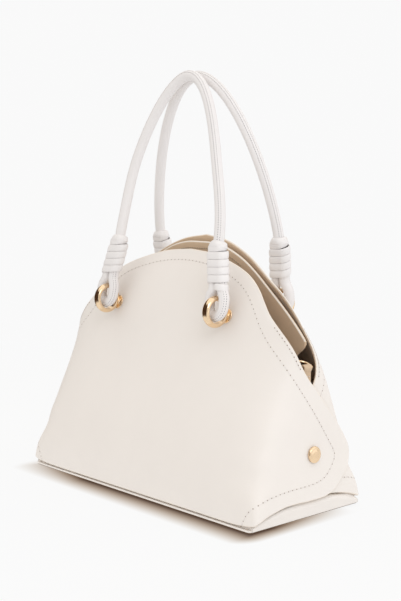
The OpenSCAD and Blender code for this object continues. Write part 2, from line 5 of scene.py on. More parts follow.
import bmesh
import bpy
import numpy as np
from bpy.props import FloatProperty, FloatVectorProperty, PointerProperty
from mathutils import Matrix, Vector


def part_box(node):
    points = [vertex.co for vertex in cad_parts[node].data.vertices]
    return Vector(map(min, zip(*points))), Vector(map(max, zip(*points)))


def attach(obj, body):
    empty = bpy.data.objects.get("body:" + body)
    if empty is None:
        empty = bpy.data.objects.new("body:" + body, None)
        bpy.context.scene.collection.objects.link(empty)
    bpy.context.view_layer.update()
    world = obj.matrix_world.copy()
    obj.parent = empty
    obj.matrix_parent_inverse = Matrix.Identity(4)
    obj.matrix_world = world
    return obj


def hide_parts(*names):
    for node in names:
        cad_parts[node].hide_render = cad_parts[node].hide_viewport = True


bl_info = {
    "name": "Top Handle Bag",
    "version": (1, 0, 0),
    "blender": (4, 5, 0),
    "location": "View3D > Sidebar > Bag",
    "description": "Makes a leather top handle bag with rolled handles and gilt fittings",
    "category": "Add Mesh",
}

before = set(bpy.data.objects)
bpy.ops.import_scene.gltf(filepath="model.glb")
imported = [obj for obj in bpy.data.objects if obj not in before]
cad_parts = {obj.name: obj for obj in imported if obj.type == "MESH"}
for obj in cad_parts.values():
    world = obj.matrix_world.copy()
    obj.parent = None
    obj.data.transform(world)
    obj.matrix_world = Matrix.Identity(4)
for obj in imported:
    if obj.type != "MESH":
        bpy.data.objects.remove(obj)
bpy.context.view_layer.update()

# Sizes of the bag's body: its base, sheets, glue and gaps, seam, rim, and the turn that its wings reach
BASE_WIDTH = 0.320
BASE_DEPTH = 0.142
FRONT_HEIGHT = 0.231
BACK_HEIGHT = 0.2445
LEATHER = 0.002
LINING = 0.0008
GLUE = 0.00005
LAYER_GAP = 0.0003
LAP_GAP = 0.0006
PANEL_STACK = LEATHER + GLUE + LINING
LAP = PANEL_STACK + LAP_GAP
BASE_THICKNESS = 0.003
SEAM_Z = 0.0045
BASE_CORNER = 0.004
RIM_HEIGHT = 0.010
LIP_HEIGHT = 0.017
RIM_THICKNESS = 0.0016
BOARD_THICKNESS = 0.002
WING_WRAP = 131.0

# Net of a panel: weight of its bends, heights that set its columns' pace, and steps along the leather
BEND_WEIGHT = 0.005
PACE_SHARES = (0.0, 0.15, 0.4, 1.0)
FINE_TURNS = 4001
MARCH_STEP = 0.001
TURN_STEP = 0.25
HEIGHT_STEP = 0.0004
# Power with which the rows of the net take over the turns of the lower edge
NET_POWER = 3
# Halvings in which a turn is found, up to the last turn of a panel's face, and how steep a direction may be
HALVINGS = 30
FACE_TURN = 89.0
STEEP = 0.9

# Height, half width of the base, front and back reach, front and back end line, squareness
PLAN_SHARES = [
    (0.00, 1.038, 1.000, 1.000, 0.00, 0.00, 60.0),
    (0.13, 1.025, 0.972, 0.972, 0.03, 0.03, 15.0),
    (0.26, 1.006, 0.873, 0.901, 0.07, 0.07, 8.5),
    (0.39, 1.000, 0.739, 0.810, 0.09, 0.09, 5.8),
    (0.52, 1.000, 0.599, 0.711, 0.06, 0.06, 4.0),
    (0.65, 1.012, 0.444, 0.620, 0.00, -0.17, 2.9),
    (0.78, 1.019, 0.303, 0.535, -0.01, -0.35, 2.4),
    (0.89, 1.019, 0.148, 0.451, 0.14, -0.58, 2.15),
    (1.00, 1.019, -0.056, 0.394, 0.38, -0.76, 2.1),
    (1.07, 1.019, -0.141, 0.380, 0.52, -0.86, 2.1),
]

# Share of the wings' turn, top edge of the front and of the back panel, lift of the lower edge
EDGE_SHARES = [
    (0.000, 1.000, 1.000, 0.000),
    (0.092, 0.987, 0.978, 0.000),
    (0.183, 0.952, 0.924, 0.000),
    (0.244, 0.920, 0.869, 0.000),
    (0.282, 0.890, 0.832, 0.000),
    (0.313, 0.855, 0.804, 0.002),
    (0.340, 0.814, 0.769, 0.011),
    (0.366, 0.775, 0.724, 0.024),
    (0.405, 0.734, 0.667, 0.039),
    (0.489, 0.660, 0.579, 0.054),
    (0.573, 0.593, 0.513, 0.056),
    (0.641, 0.550, 0.476, 0.054),
    (0.695, 0.519, 0.454, 0.054),
    (0.740, 0.494, 0.434, 0.054),
    (0.802, 0.450, 0.397, 0.058),
    (0.863, 0.403, 0.352, 0.076),
    (0.924, 0.348, 0.299, 0.121),
    (0.969, 0.297, 0.254, 0.167),
    (1.000, 0.250, 0.236, 0.217),
]

# Share of the wings' turn and distance of the stitch row from the edge, along the top and the lower edge
TOP_STITCH_ROW = [
    (0.00, 0.0115),
    (0.22, 0.0112),
    (0.29, 0.0117),
    (0.34, 0.0125),
    (0.41, 0.0165),
    (0.51, 0.0150),
    (0.60, 0.0136),
    (0.85, 0.0166),
    (1.00, 0.0220),
]
LOWER_STITCH_ROW = [
    (0.00, 0.0120),
    (0.28, 0.0120),
    (0.35, 0.0155),
    (0.44, 0.0141),
    (0.54, 0.0132),
    (0.82, 0.0156),
    (1.00, 0.0220),
]
# Steps in which the row is found, rounds in which it is eased, and spacing of its points
ROW_STEPS = 20
ROW_ROUNDS = 20
ROW_SPACING = 0.002
# Where the row leaves the lower edge, how far above the seam and how far in it ends, and its way down there
LOWER_STITCH_START = 0.335
ROW_FOOT = 0.001
SEAM_TUCK = 0.035
ROW_DOWN = np.linspace(0.15, 1.0, 6)

# One stitch from end to end: place, half width and rise, as shares of half its length and of its thread
STITCH_SHAPE = (
    (-1.0, 0.45, -0.9), (-0.75, 0.95, 0.25), (0.0, 1.0, 0.75), (0.75, 0.95, 0.25), (1.0, 0.45, -0.9),
)
# Sides of a stitch, half its length as a share of the pitch, flatness, slant, thread, and its needle hole: a
# flat dark disc painted with the hole's shade
STITCH_SIDES = 6
STITCH_HALF = 0.40
STITCH_FLAT = 0.8
STITCH_SLANT = 7.0
THREAD = 0.00030
HOLE = 0.00058
HOLE_SIDES = 8
HOLE_LIFT = 0.00004

# Share of the wings' turn, and how far the top edge rolls back there
ROLLED_EDGE = [
    (0.00, 0.0001),
    (0.30, 0.0002),
    (0.38, 0.0012),
    (0.60, 0.0011),
    (0.72, 0.0003),
    (1.00, 0.0001),
]
# Width of the roll, how far in the rings of points beside an edge lie, and points round an edge
ROLL_WIDTH = 0.0046
EDGE_INSETS = (0.0014, 0.0019, 0.0025, 0.0032, 0.0040, 0.0050, 0.0066)
EDGE_STEPS = 9

# Half outline of the divider, as shares of half its width and of its height
DIVIDER_SHARES = [
    (0, 1),
    (0.14, 0.997),
    (0.28, 0.978),
    (0.42, 0.940),
    (0.54, 0.892),
    (0.66, 0.833),
    (0.80, 0.762),
    (0.90, 0.706),
    (0.97, 0.662),
    (1.00, 0.637),
    (0.985, 0.612),
    (0.94, 0.588),
    (0.91, 0.560),
    (0.90, 0.520),
]
DIVIDER_WIDTH = 0.286
DIVIDER_HEIGHT = 0.238
DIVIDER_THICKNESS = 0.0027
DIVIDER_FOOT_Y = 0.010
DIVIDER_CROWN_Y = 0.018
# The divider's cut lower corners, points from one of its shares to the next, their spacing, and its insets
DIVIDER_CUT = 0.001
DIVIDER_CUT_TOP = 4 * LAYER_GAP
DIVIDER_FINE = 12
DIVIDER_STEP = 0.0028
DIVIDER_INSETS = (0.0034, 0.0024)
# Share of its height above which the divider's edge is painted, and the depth of the paint
PAINT_START = 0.63
PAINT_DEPTH = 0.0006
# How far to each side the divider's stitches reach, and their pitch as a share of the panels'
ROW_REACH = 0.060
DIVIDER_PITCH = 0.65
FLOOR_Z = BASE_THICKNESS + 3 * GLUE + BOARD_THICKNESS + LINING
DIVIDER_LEAN = math.atan2(DIVIDER_CROWN_Y - DIVIDER_FOOT_Y, DIVIDER_HEIGHT - FLOOR_Z)

# Sizes of the handles: top, radius, where they meet, lean of their legs and arches, and shape of the arch
HANDLE_TOP = 0.396
TUBE_RADIUS = 0.005
HANDLE_MEET_Y = 0.008
HANDLE_MEET_GAP = 0.0005
SPLAY = {True: -0.008, False: 0.004}
SWAY = {True: -0.004, False: 0.0}
ARCH_HEIGHT_POWER = 1.5
ARCH_WIDTH_POWER = 1.9
ARCH_PACE = 1.15
# Points along an arch, its legs, its bends round the rings and its ends, and rounds in which they are eased
ARCH_POINTS = 60
LEG_POINTS = 40
BEND_POINTS = 20
END_POINTS = 28
LINE_ROUNDS = 2
# Bend of a handle round its ring, and height in which its strands come together above it
BEND_CLEARANCE = 0.0005
BEND_RISE = 0.005
FLARE_HEIGHT = 0.0085
# Wrap round the strands of a leg, and its strip
WRAP_LEAD = 0.0015
WRAP_TAPER = 0.016
WRAP_SQUARENESS = 3.0
WRAP_TURNS = 5
WRAP_PITCH = 0.0069
WRAP_START = 0.0225
STRIP_ROOM = 0.0062
STRIP_WIDTH = 0.00688
STRIP_THICKNESS = 0.0013
STRIP_GAP = 0.0003
WRAP_END = WRAP_START + WRAP_TURNS * WRAP_PITCH + STRIP_ROOM
FLARE_END = WRAP_START - WRAP_LEAD
FLARE_START = FLARE_END - FLARE_HEIGHT

# Sizes of the gilt fittings
RING_SPREAD = 0.1586
FOOT_Z = {True: 0.1745, False: 0.177}
RING_OUTER = 0.0146
RING_HOLE = 0.0103
RING_BAND = 0.0076
BAND_ROUND = 0.0044
FOOT_RADIUS = 0.007
FOOT_THICKNESS = 0.0014
NECK_RADIUS = 0.0032
RING_STANDOFF = LAYER_GAP + FOOT_THICKNESS / 2 + RING_OUTER
BEND_OFFSET = RING_BAND / 2 + BEND_CLEARANCE + TUBE_RADIUS
RIVET_HEIGHT = 0.057
RIVET_TURN = 91.0
RIVET_RADIUS = 0.0074
RIVET_THICKNESS = 0.003
STRAP_RING_Z = 0.133
STRAP_RING_Y = 0.0055
WIRE_RADIUS = 0.0014
STRAP_RING_RADIUS = 0.0082
STRAP_RING_LEG = 0.0045
STRAP_RING_REST = 20.0
TAB_WIDTH = 0.011
TAB_THICKNESS = 0.0015
TAB_LENGTH = 0.036
TAB_CLEARANCE = 0.0003

# Half width of the floor, how far it lies under the bag, and between what distances it fades to the backdrop
FLOOR_REACH = 6.0
FLOOR_DROP = 0.0002
FLOOR_FADE = (0.28, 0.95)

# Painted contact shadow on the floor: reach from the base, fall, how much faster it ends sideways, depth,
# shares where it fades
SHADOW_REACH = 0.028
SHADOW_FALL = 1.25
SHADOW_SIDE = 1.5
SHADOW_DEPTH = 0.92
SHADOW_LEFT = (-0.60, -0.24)
SHADOW_BACK = (-0.36, 0.30)

# Painted dark reflection, which only glossy rays see: its direction, where its sides, its top and its part
# on the floor begin and end
DARK_REFLECTION_WAY = (-0.55, -0.84, 0.0)
DARK_REFLECTION_SIDE = (0.26, 0.40)
DARK_REFLECTION_TOP = (0.66, 0.82)
DARK_REFLECTION_FOOT = (0.32, 0.55)

# Tint of the surround, its strength between the level and nearly overhead, and the two lamps
SKY_TINT = (1.0, 0.98, 0.945)
SKY_RISE = (0.0, 0.9, 0.93, 1.44)
LAMP_TINT = (0.79, 0.87, 1.0)
LAMP_AIM = (0.0, 0.0, 0.15)
KEY_PLACE = (1.05, -0.55, 0.95)
FILL_PLACE = (1.5, 0.75, 0.45)

# Camera of the product view
CAMERA_PLACE = (0.81809, -0.71852, 0.29883)
CAMERA_TURN = 48.03
CAMERA_DIP = 6.19
CAMERA_LENS = 67.6
CAMERA_NEAR = 0.01
SENSOR = 36.0


def smooth(table, run, column):
    """A cubic curve through the rows of a table, with its first column as the run."""
    rows = np.asarray(table, float)
    x = rows[:, 0]
    y = rows[:, column]
    slope = np.gradient(y, x)
    slope[1:-1] = (y[2:] - y[:-2]) / (x[2:] - x[:-2])
    run = np.clip(run, x[0], x[-1])
    i = np.clip(np.searchsorted(x, run, side="right") - 1, 0, len(x) - 2)
    h = x[i + 1] - x[i]
    s = (run - x[i]) / h
    start = (2 * s**3 - 3 * s**2 + 1) * y[i] + (s**3 - 2 * s**2 + s) * h * slope[i]
    end = (3 * s**2 - 2 * s**3) * y[i + 1] + (s**3 - s**2) * h * slope[i + 1]
    return start + end


def ease(value):
    """A soft step from 0 to 1."""
    s = np.clip(value, 0.0, 1.0)
    return s * s * (3 - 2 * s)


def unit(vectors):
    """The same directions with a length of 1."""
    return vectors / np.linalg.norm(vectors, axis=-1, keepdims=True)


def circle(count):
    """Angles evenly round a circle."""
    return np.linspace(0, 2 * np.pi, count, endpoint=False)


def skin(turn, height, front, end_in, own_in, far_in):
    """Points of the bag's plan curve at a height, moved in, turned from the middle of front or back."""
    share = height / FRONT_HEIGHT
    power = smooth(PLAN_SHARES, share, 6)
    half_width = BASE_WIDTH / 2 * smooth(PLAN_SHARES, share, 1) - end_in
    reach_front = BASE_DEPTH / 2 * smooth(PLAN_SHARES, share, 2)
    reach_back = BASE_DEPTH / 2 * smooth(PLAN_SHARES, share, 3)
    line = BASE_DEPTH / 2 * smooth(PLAN_SHARES, share, 4 if front else 5)
    own = reach_front + line if front else reach_back - line
    far = reach_back - line if front else reach_front + line
    sine = np.sin(np.radians(turn))
    cosine = np.cos(np.radians(turn))
    depth = np.where(cosine >= 0, own - own_in, far - far_in)
    grow = (np.abs(sine) ** power + np.abs(cosine) ** power) ** (-1 / power)
    side = 1.0 if front else -1.0
    x = side * half_width * grow * sine
    y = line - side * depth * grow * cosine
    return np.stack(np.broadcast_arrays(x, y, height + 0.0 * turn), axis=-1)


def panel_point(turn, height, front, depth=0.0):
    """Points of a panel at a depth in from its outer face. The back wing lies under the front one."""
    if front:
        return skin(turn, height, True, depth, depth, depth - LAP)
    return skin(turn, height, False, depth + LAP, depth, depth + LAP)


def panel_frame(turn, height, front):
    """Changes of a panel's point with turn and with height, and the direction that it faces."""
    by_turn = panel_point(turn + TURN_STEP, height, front) - panel_point(turn - TURN_STEP, height, front)
    above = panel_point(turn, height + HEIGHT_STEP, front)
    by_height = above - panel_point(turn, height - HEIGHT_STEP, front)
    return by_turn / (2 * TURN_STEP), by_height / (2 * HEIGHT_STEP), unit(np.cross(by_turn, by_height))


def edge_heights(turn, front):
    """Heights of a panel's top and lower edge at a turn."""
    share = np.abs(turn) / WING_WRAP
    tall, column = (FRONT_HEIGHT, 1) if front else (BACK_HEIGHT, 2)
    return tall * smooth(EDGE_SHARES, share, column), SEAM_Z + FRONT_HEIGHT * smooth(EDGE_SHARES, share, 3)


def column_turns(front, count):
    """Turns of the lines across a panel: closer where its edges run long and where it bends."""
    turn = np.linspace(-WING_WRAP, WING_WRAP, FINE_TURNS)
    top, low = edge_heights(turn, front)
    pace = np.zeros(len(turn) - 1)
    for share in PACE_SHARES:
        steps = np.diff(panel_point(turn, low + (top - low) * share, front), axis=0)
        length = np.linalg.norm(steps, axis=1)
        ways = unit(steps)
        bend = np.linalg.norm(np.diff(ways, axis=0, prepend=ways[:1]), axis=1)
        pace = np.maximum(pace, length + bend * BEND_WEIGHT)
    total = np.concatenate([[0], np.cumsum(pace)])
    return np.interp(np.linspace(0, total[-1], count), total, turn)


def panel_outline(front, count):
    """Turns and heights round a panel: the top edge from left to right, then the lower edge back."""
    turn = column_turns(front, count)
    top, low = edge_heights(turn, front)
    top[[0, -1]] = low[[0, -1]] = (top[0] + low[0]) / 2
    return np.concatenate([turn, turn[-2:0:-1]]), np.concatenate([top, low[-2:0:-1]])


def relaxed(values):
    """A closed run of values with its kinks eased."""
    return (np.roll(values, 1) + 2 * values + np.roll(values, -1)) / 4


def relax_inside(values, rounds):
    """Eases the kinks of an open run of values, whose ends stay."""
    for _ in range(rounds):
        values[1:-1] = (values[:-2] + 2 * values[1:-1] + values[2:]) / 4


def move_in(turn, height, front, distance):
    """Moves a closed outline inwards along the leather by a distance, in small steps."""
    steps = max(1, math.ceil(abs(distance) / MARCH_STEP))
    for _ in range(steps):
        turn, height = step_in(turn, height, front, distance / steps)
        if steps > 1:
            turn, height = relaxed(turn), relaxed(height)
    return turn, height


def step_in(turn, height, front, distance):
    """One small step of an outline inwards."""
    here = panel_point(turn, height, front)
    run = unit(np.roll(here, -1, 0) - np.roll(here, 1, 0))
    by_turn, by_height, facing = panel_frame(turn, height, front)
    inward = np.cross(run, facing) * np.reshape(distance, (-1, 1))
    a = (by_turn * by_turn).sum(1)
    b = (by_turn * by_height).sum(1)
    c = (by_height * by_height).sum(1)
    p = (by_turn * inward).sum(1)
    q = (by_height * inward).sum(1)
    whole = a * c - b * b
    return turn + (p * c - q * b) / whole, height + (a * q - b * p) / whole


def stitch_row(front, count):
    """Turns and heights of a panel's stitch row, from the seam under one wing over the top to the other."""
    turn, height = panel_outline(front, count)
    share = np.abs(turn) / WING_WRAP
    is_top = np.arange(len(turn)) < count
    distance = np.where(is_top, smooth(TOP_STITCH_ROW, share, 1), smooth(LOWER_STITCH_ROW, share, 1))
    for _ in range(ROW_STEPS):
        turn, height = step_in(turn, height, front, distance / ROW_STEPS)
        turn = np.clip(turn, turn[0], turn[count - 1])
        height = np.where(is_top, np.maximum(height, height[0]), np.minimum(height, height[0]))
        turn, height = relaxed(turn), relaxed(height)
    lower = ~is_top & (share > LOWER_STITCH_START)
    right = lower & (turn > 0)
    left = lower & (turn < 0)
    turn = np.concatenate([turn[left], turn[is_top], turn[right]])
    height = np.concatenate([height[left], height[is_top], height[right]])
    low = SEAM_Z + ROW_FOOT
    inward = 1 - SEAM_TUCK * ROW_DOWN
    turn = np.concatenate([turn[0] * inward[::-1], turn, turn[-1] * inward])
    left = height[0] + (low - height[0]) * ROW_DOWN[::-1]
    height = np.concatenate([left, height, height[-1] + (low - height[-1]) * ROW_DOWN])
    _, turn, height = even_path(panel_point(turn, height, front), ROW_SPACING, turn, height)
    relax_inside(turn, ROW_ROUNDS)
    relax_inside(height, ROW_ROUNDS)
    return turn, height


def even_path(points, spacing, *others):
    """Points spaced evenly along a line, with other values of the line at the same places."""
    length = np.concatenate([[0], np.cumsum(np.linalg.norm(np.diff(points, axis=0), axis=1))])
    count = max(2, int(round(length[-1] / spacing)) + 1)
    even = np.linspace(0, length[-1], count)

    def at_even(values):
        columns = np.reshape(values, (len(length), -1))
        out = np.stack([np.interp(even, length, column) for column in columns.T], axis=1)
        return out if np.ndim(values) > 1 else out[:, 0]

    return [at_even(points)] + [at_even(values) for values in others]


def band_faces(first, second):
    """Quads between two closed lines of point numbers."""
    return np.stack([first, np.roll(first, -1), np.roll(second, -1), second], axis=1).tolist()


def make_piece(name, points, faces, body, materials, marks, sharp=None, outward=True):
    """A mesh piece that rides on a body and takes its finish from the materials given."""
    mesh = bpy.data.meshes.new(name)
    mesh.from_pydata(np.asarray(points, float).tolist(), [], faces)
    for material in materials:
        mesh.materials.append(material)
    mesh.polygons.foreach_set("material_index", np.asarray(marks, np.int32))
    mesh.polygons.foreach_set("use_smooth", np.ones(len(faces), bool))
    if outward:
        shape = bmesh.new()
        shape.from_mesh(mesh)
        bmesh.ops.recalc_face_normals(shape, faces=shape.faces)
        shape.to_mesh(mesh)
        shape.free()
    if sharp is not None:
        mesh.set_sharp_from_angle(angle=math.radians(sharp))
    mesh.update()
    piece = bpy.data.objects.new(name, mesh)
    bpy.context.scene.collection.objects.link(piece)
    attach(piece, body)
    return piece


class Shell:
    """Points and faces of a piece while it is being laid out."""

    def __init__(self):
        self.points = []
        self.faces = []
        self.marks = []
        self.total = 0

    def add(self, points):
        """Adds points and returns their numbers."""
        points = np.asarray(points, float).reshape(-1, 3)
        numbers = np.arange(self.total, self.total + len(points))
        self.points.append(points)
        self.total += len(points)
        return numbers

    def join(self, first, second, mark=0):
        """Adds a band of quads between two closed lines of points."""
        faces = band_faces(first, second)
        self.faces += faces
        self.marks += [mark] * len(faces)

    def cap(self, numbers):
        """Closes a line of points with one face."""
        self.faces.append([int(number) for number in numbers])
        self.marks.append(0)

    def loft(self, loops, caps=True):
        """Adds bands through a list of loops, and a face over each end."""
        numbers = [self.add(loop) for loop in loops]
        for first, second in zip(numbers[:-1], numbers[1:]):
            self.join(first, second)
        if caps:
            self.cap(numbers[0][::-1])
            self.cap(numbers[-1])
        return numbers

    def piece(self, name, body, slot, materials, sharp=None):
        """Makes the piece."""
        points = np.concatenate(self.points)
        return make_piece(name, points, self.faces, body, materials, self.marks, sharp)


def fill_panel(shell, numbers, turn, height, front, depth, rows, mark):
    """Fills the inside of a panel's innermost outline with a net of rows between top and lower edge."""
    total = len(turn)
    half = total // 2 + 1
    upper = np.arange(half)
    lower = (total - upper) % total
    net = np.zeros((half, rows + 1), int)
    net[:, 0] = numbers[upper]
    net[:, rows] = numbers[lower]
    net[0, :] = numbers[0]
    net[-1, :] = numbers[half - 1]
    share = np.arange(1, rows)[None, :] / rows
    inner = slice(1, half - 1)
    toward = 1 - (1 - share) ** NET_POWER
    turns = turn[upper[inner], None] * (1 - toward) + turn[lower[inner], None] * toward
    heights = height[upper[inner], None] * (1 - share) + height[lower[inner], None] * share
    net[inner, 1:rows] = shell.add(panel_point(turns, heights, front, depth)).reshape(half - 2, rows - 1)
    for i in range(half - 1):
        for r in range(rows):
            corners = [net[i, r], net[i + 1, r], net[i + 1, r + 1], net[i, r + 1]]
            face = [int(c) for k, c in enumerate(corners) if c != corners[k - 1]]
            shell.faces.append(face)
            shell.marks.append(mark)


def sheet_shell(front, outer_depth, thickness, margin, count, rows, roll):
    """A panel's sheet with a round edge, which rolls back a little along the mouth."""
    shell = Shell()
    edge = panel_outline(front, count)
    if margin:
        edge = move_in(*edge, front, margin)
    radius = thickness / 2
    is_top = np.arange(len(edge[0])) < count
    rolled = roll * is_top * smooth(ROLLED_EDGE, np.abs(edge[0]) / WING_WRAP, 1)
    turn, height = move_in(*edge, front, radius)
    reached = radius
    border = []
    for inset in EDGE_INSETS:
        turn, height = move_in(turn, height, front, inset - reached)
        reached = inset
        border.append((turn, height, rolled * max(1 - inset / ROLL_WIDTH, 0) ** 2))
    rings = [panel_point(t, h, front, outer_depth + drop) for t, h, drop in reversed(border)]
    marks = [0] * len(rings)
    for angle in np.linspace(0, np.pi, EDGE_STEPS):
        t, h = move_in(*edge, front, radius * (1 - math.sin(angle)))
        drop = rolled * (1 - radius / ROLL_WIDTH) ** 2 * (1 - angle / np.pi)
        rings.append(panel_point(t, h, front, outer_depth + drop + radius * (1 - math.cos(angle))))
        marks.append(1)
    for t, h, _ in border:
        rings.append(panel_point(t, h, front, outer_depth + thickness))
        marks.append(2)
    numbers = [shell.add(ring) for ring in rings]
    for i in range(len(rings) - 1):
        shell.join(numbers[i], numbers[i + 1], marks[i + 1] if marks[i] else 0)
    fill_panel(shell, numbers[0], turn, height, front, outer_depth, rows, 0)
    fill_panel(shell, numbers[-1], turn, height, front, outer_depth + thickness, rows, 2)
    return shell, edge


def sew(
    name, path, facings, body, slot, pitch, materials, sunk=0.0, thread=THREAD, hole=HOLE, slant=STITCH_SLANT
):
    """A row of stitches with a needle hole between each two, along a path on a surface. The holes are flat
    dark discs, painted shade.
    """
    points, facing = even_path(path, pitch, facings)
    facing = unit(facing)
    middles = (points[:-1] + points[1:]) / 2
    along = unit(points[1:] - points[:-1])
    up = unit(facing[:-1] + facing[1:])
    lean = math.radians(slant)
    ahead = along * math.cos(lean) + np.cross(up, along) * math.sin(lean)
    across = np.cross(up, ahead)
    columns = []
    for station, width, rise in STITCH_SHAPE:
        centre = middles + ahead * station * pitch * STITCH_HALF + up * (rise * thread - sunk)
        for angle in circle(STITCH_SIDES):
            out = across * math.cos(angle) + up * math.sin(angle) * STITCH_FLAT
            columns.append(centre + out * width * thread)
    net = np.arange(len(columns)).reshape(-1, STITCH_SIDES)
    pattern = [face for low, high in zip(net[:-1], net[1:]) for face in band_faces(low, high)]
    pattern += [net[0][::-1].tolist(), net[-1].tolist()]
    faces = [[corner + i * net.size for corner in face] for i in range(len(middles)) for face in pattern]
    marks = [0] * len(faces) + [1] * len(points)
    aside = unit(np.cross(facing, np.gradient(points, axis=0)))
    forward = np.cross(aside, facing)
    lifted = points + facing * (HOLE_LIFT - sunk)
    discs = [lifted + (aside * math.cos(a) + forward * math.sin(a)) * hole for a in circle(HOLE_SIDES)]
    discs = np.stack(discs, axis=1).reshape(-1, 3)
    faces += (len(middles) * net.size + np.arange(len(discs)).reshape(-1, HOLE_SIDES)).tolist()
    everything = np.concatenate([np.stack(columns, axis=1).reshape(-1, 3), discs])
    return make_piece(name, everything, faces, body, materials, marks, outward=False)


def facing_frame(direction):
    """Two directions across a given one."""
    direction = np.asarray(direction, float)
    helper = np.array([0.0, 0.0, 1.0]) if abs(direction[2]) < STEEP else np.array([1.0, 0.0, 0.0])
    first = unit(np.cross(helper, direction))
    return first, np.cross(direction, first)


def turned_loops(profile, place, direction, segments):
    """Loops of a turned piece. Its profile is a list of radius and height along the direction."""
    first, second = facing_frame(direction)
    angles = circle(segments)[:, None]
    loops = []
    for radius, height in profile:
        around = (first * np.cos(angles) + second * np.sin(angles)) * radius
        loops.append(np.asarray(place) + np.asarray(direction) * height + around)
    return loops


def panel_turn_at(x, height, front):
    """Turn at which a panel's outer face reaches a distance from the middle."""
    low = 0.0
    high = FACE_TURN
    for _ in range(HALVINGS):
        middle = (low + high) / 2
        if abs(panel_point(np.array(middle), height, front)[0]) < x:
            low = middle
        else:
            high = middle
    return (low + high) / 2


def foot(front, side):
    """Place of a ring's foot on a panel, and the direction that the panel faces there."""
    turn = (side if front else -side) * panel_turn_at(RING_SPREAD / 2, FOOT_Z[front], front)
    turn = np.array(turn)
    return panel_point(turn, FOOT_Z[front], front), panel_frame(turn, FOOT_Z[front], front)[2]


def ring_middle(front, side):
    """Middle of a handle ring."""
    place, facing = foot(front, side)
    return place + RING_STANDOFF * facing


class HandleLine:
    """The line that a rolled handle follows, drawn upright and then leaned to its place."""

    def __init__(self, front):
        self.front = front
        self.pivot = ring_middle(front, 1)
        self.ring_x = self.pivot[0]
        meet = HANDLE_MEET_Y + (-1 if front else 1) * (2 * TUBE_RADIUS + HANDLE_MEET_GAP) / 2
        self.lean = math.atan2(meet - self.pivot[1], HANDLE_TOP - self.pivot[2])
        self.rise = math.hypot(meet - self.pivot[1], HANDLE_TOP - self.pivot[2])

    def place(self, x, y, h):
        """Leans upright points to where the handle is."""
        cosine = math.cos(self.lean)
        sine = math.sin(self.lean)
        across = self.pivot[1] + y * cosine + h * sine
        up = self.pivot[2] - y * sine + h * cosine
        return np.stack(np.broadcast_arrays(x, across, up), axis=-1)

    def strand(self, h):
        """Distance of a strand from the middle of its ring."""
        flare = BEND_OFFSET + (TUBE_RADIUS - BEND_OFFSET) * ease((h - FLARE_START) / FLARE_HEIGHT)
        closed = TUBE_RADIUS * (1 - ease((h - WRAP_END + WRAP_TAPER) / WRAP_TAPER))
        return np.where(h < FLARE_END, flare, closed)

    def sway(self, h):
        """Sideways lean of the arch."""
        t = np.clip((h - WRAP_END) / (self.rise - WRAP_END), 0, 1)
        return SWAY[self.front] * np.sin(np.pi * t) * ease(2 * t)

    def leg(self, h):
        """Place of the wrap's middle along the bag."""
        return self.ring_x + SPLAY[self.front] * ease((h - FLARE_START) / (WRAP_END - FLARE_START))

    def half_route(self):
        """From the top of the arch down one leg, round its ring and up into the wrap."""
        angle = np.pi / 2 * (1 - np.linspace(0, 1, ARCH_POINTS, endpoint=False) ** ARCH_PACE)
        wide = float(self.leg(np.array(WRAP_END)))
        arch_x = wide * np.clip(np.cos(angle), 0, 1) ** (2 / ARCH_WIDTH_POWER)
        arch_h = WRAP_END + (self.rise - WRAP_END) * np.sin(angle) ** (2 / ARCH_HEIGHT_POWER)
        down = np.linspace(WRAP_END, FLARE_START, LEG_POINTS)
        bend = np.linspace(0, np.pi, BEND_POINTS + 2)[1:-1]
        back = np.linspace(FLARE_START, WRAP_END - WRAP_TAPER, END_POINTS)
        x = np.concatenate([
            arch_x,
            self.leg(down) - self.strand(down),
            self.ring_x - BEND_OFFSET * np.cos(bend),
            self.leg(back) + self.strand(back),
        ])
        h = np.concatenate([arch_h, down, BEND_RISE - BEND_OFFSET * np.sin(bend), back])
        twist = np.concatenate([
            np.zeros(len(arch_x)),
            ease((WRAP_END - down) / (WRAP_END - WRAP_START)),
            np.ones(len(bend) + len(back)),
        ])
        return x, h, twist

    def route(self, spacing):
        """The whole line from one end to the other, with its twist from leg to ring."""
        x, h, twist = self.half_route()
        sway = self.sway(h)
        flat = np.concatenate([
            np.stack([(sway - x)[:0:-1], h[:0:-1]], axis=1),
            np.stack([sway + x, h], axis=1),
        ])
        twist = np.concatenate([twist[:0:-1], twist])
        flat, twist = even_path(flat, spacing, twist)
        relax_inside(flat, LINE_ROUNDS)
        return flat, twist

    def around(self, flat, angle, radius):
        """Points on the tube, at an angle from the direction across the line."""
        run = unit(np.gradient(flat, axis=0))
        out = radius * np.cos(angle)
        return self.place(flat[:, 0] + out * run[:, 1], radius * np.sin(angle), flat[:, 1] - out * run[:, 0])


# Angles round the rolled tube from its stitch row, and angle, width and depth of its groove and its rows
TUBE_ANGLES = (
    0, 9, 19, 28, 37, 50, 70, 95, 120, 145, 170, 195, 220, 245, 270, 290, 308, 320, 327, 332, 337, 343, 352,
)
GROOVE_ANGLE = -28.0
GROOVE_SPAN = 4.0
GROOVE_DEPTH = 0.00042
SECOND_ROW_ANGLE = 28.0
ROW_SPAN = 7.0
ROW_DEPTH = 0.00012


def tube_radius_at(angle):
    """Radius of the rolled tube round its seam: a step at the lap's edge and two sunk stitch rows."""
    away = (angle - GROOVE_ANGLE + 180) % 360 - 180
    radius = TUBE_RADIUS - GROOVE_DEPTH * math.exp(-((away / GROOVE_SPAN) ** 2))
    for row in (0.0, SECOND_ROW_ANGLE):
        radius -= ROW_DEPTH * math.exp(-(((angle - row) / ROW_SPAN) ** 2))
    return radius


# Distance between nodes in a tree's drawing, and how many stand in a row
NODE_STEP = 220.0
NODE_ROW = 8


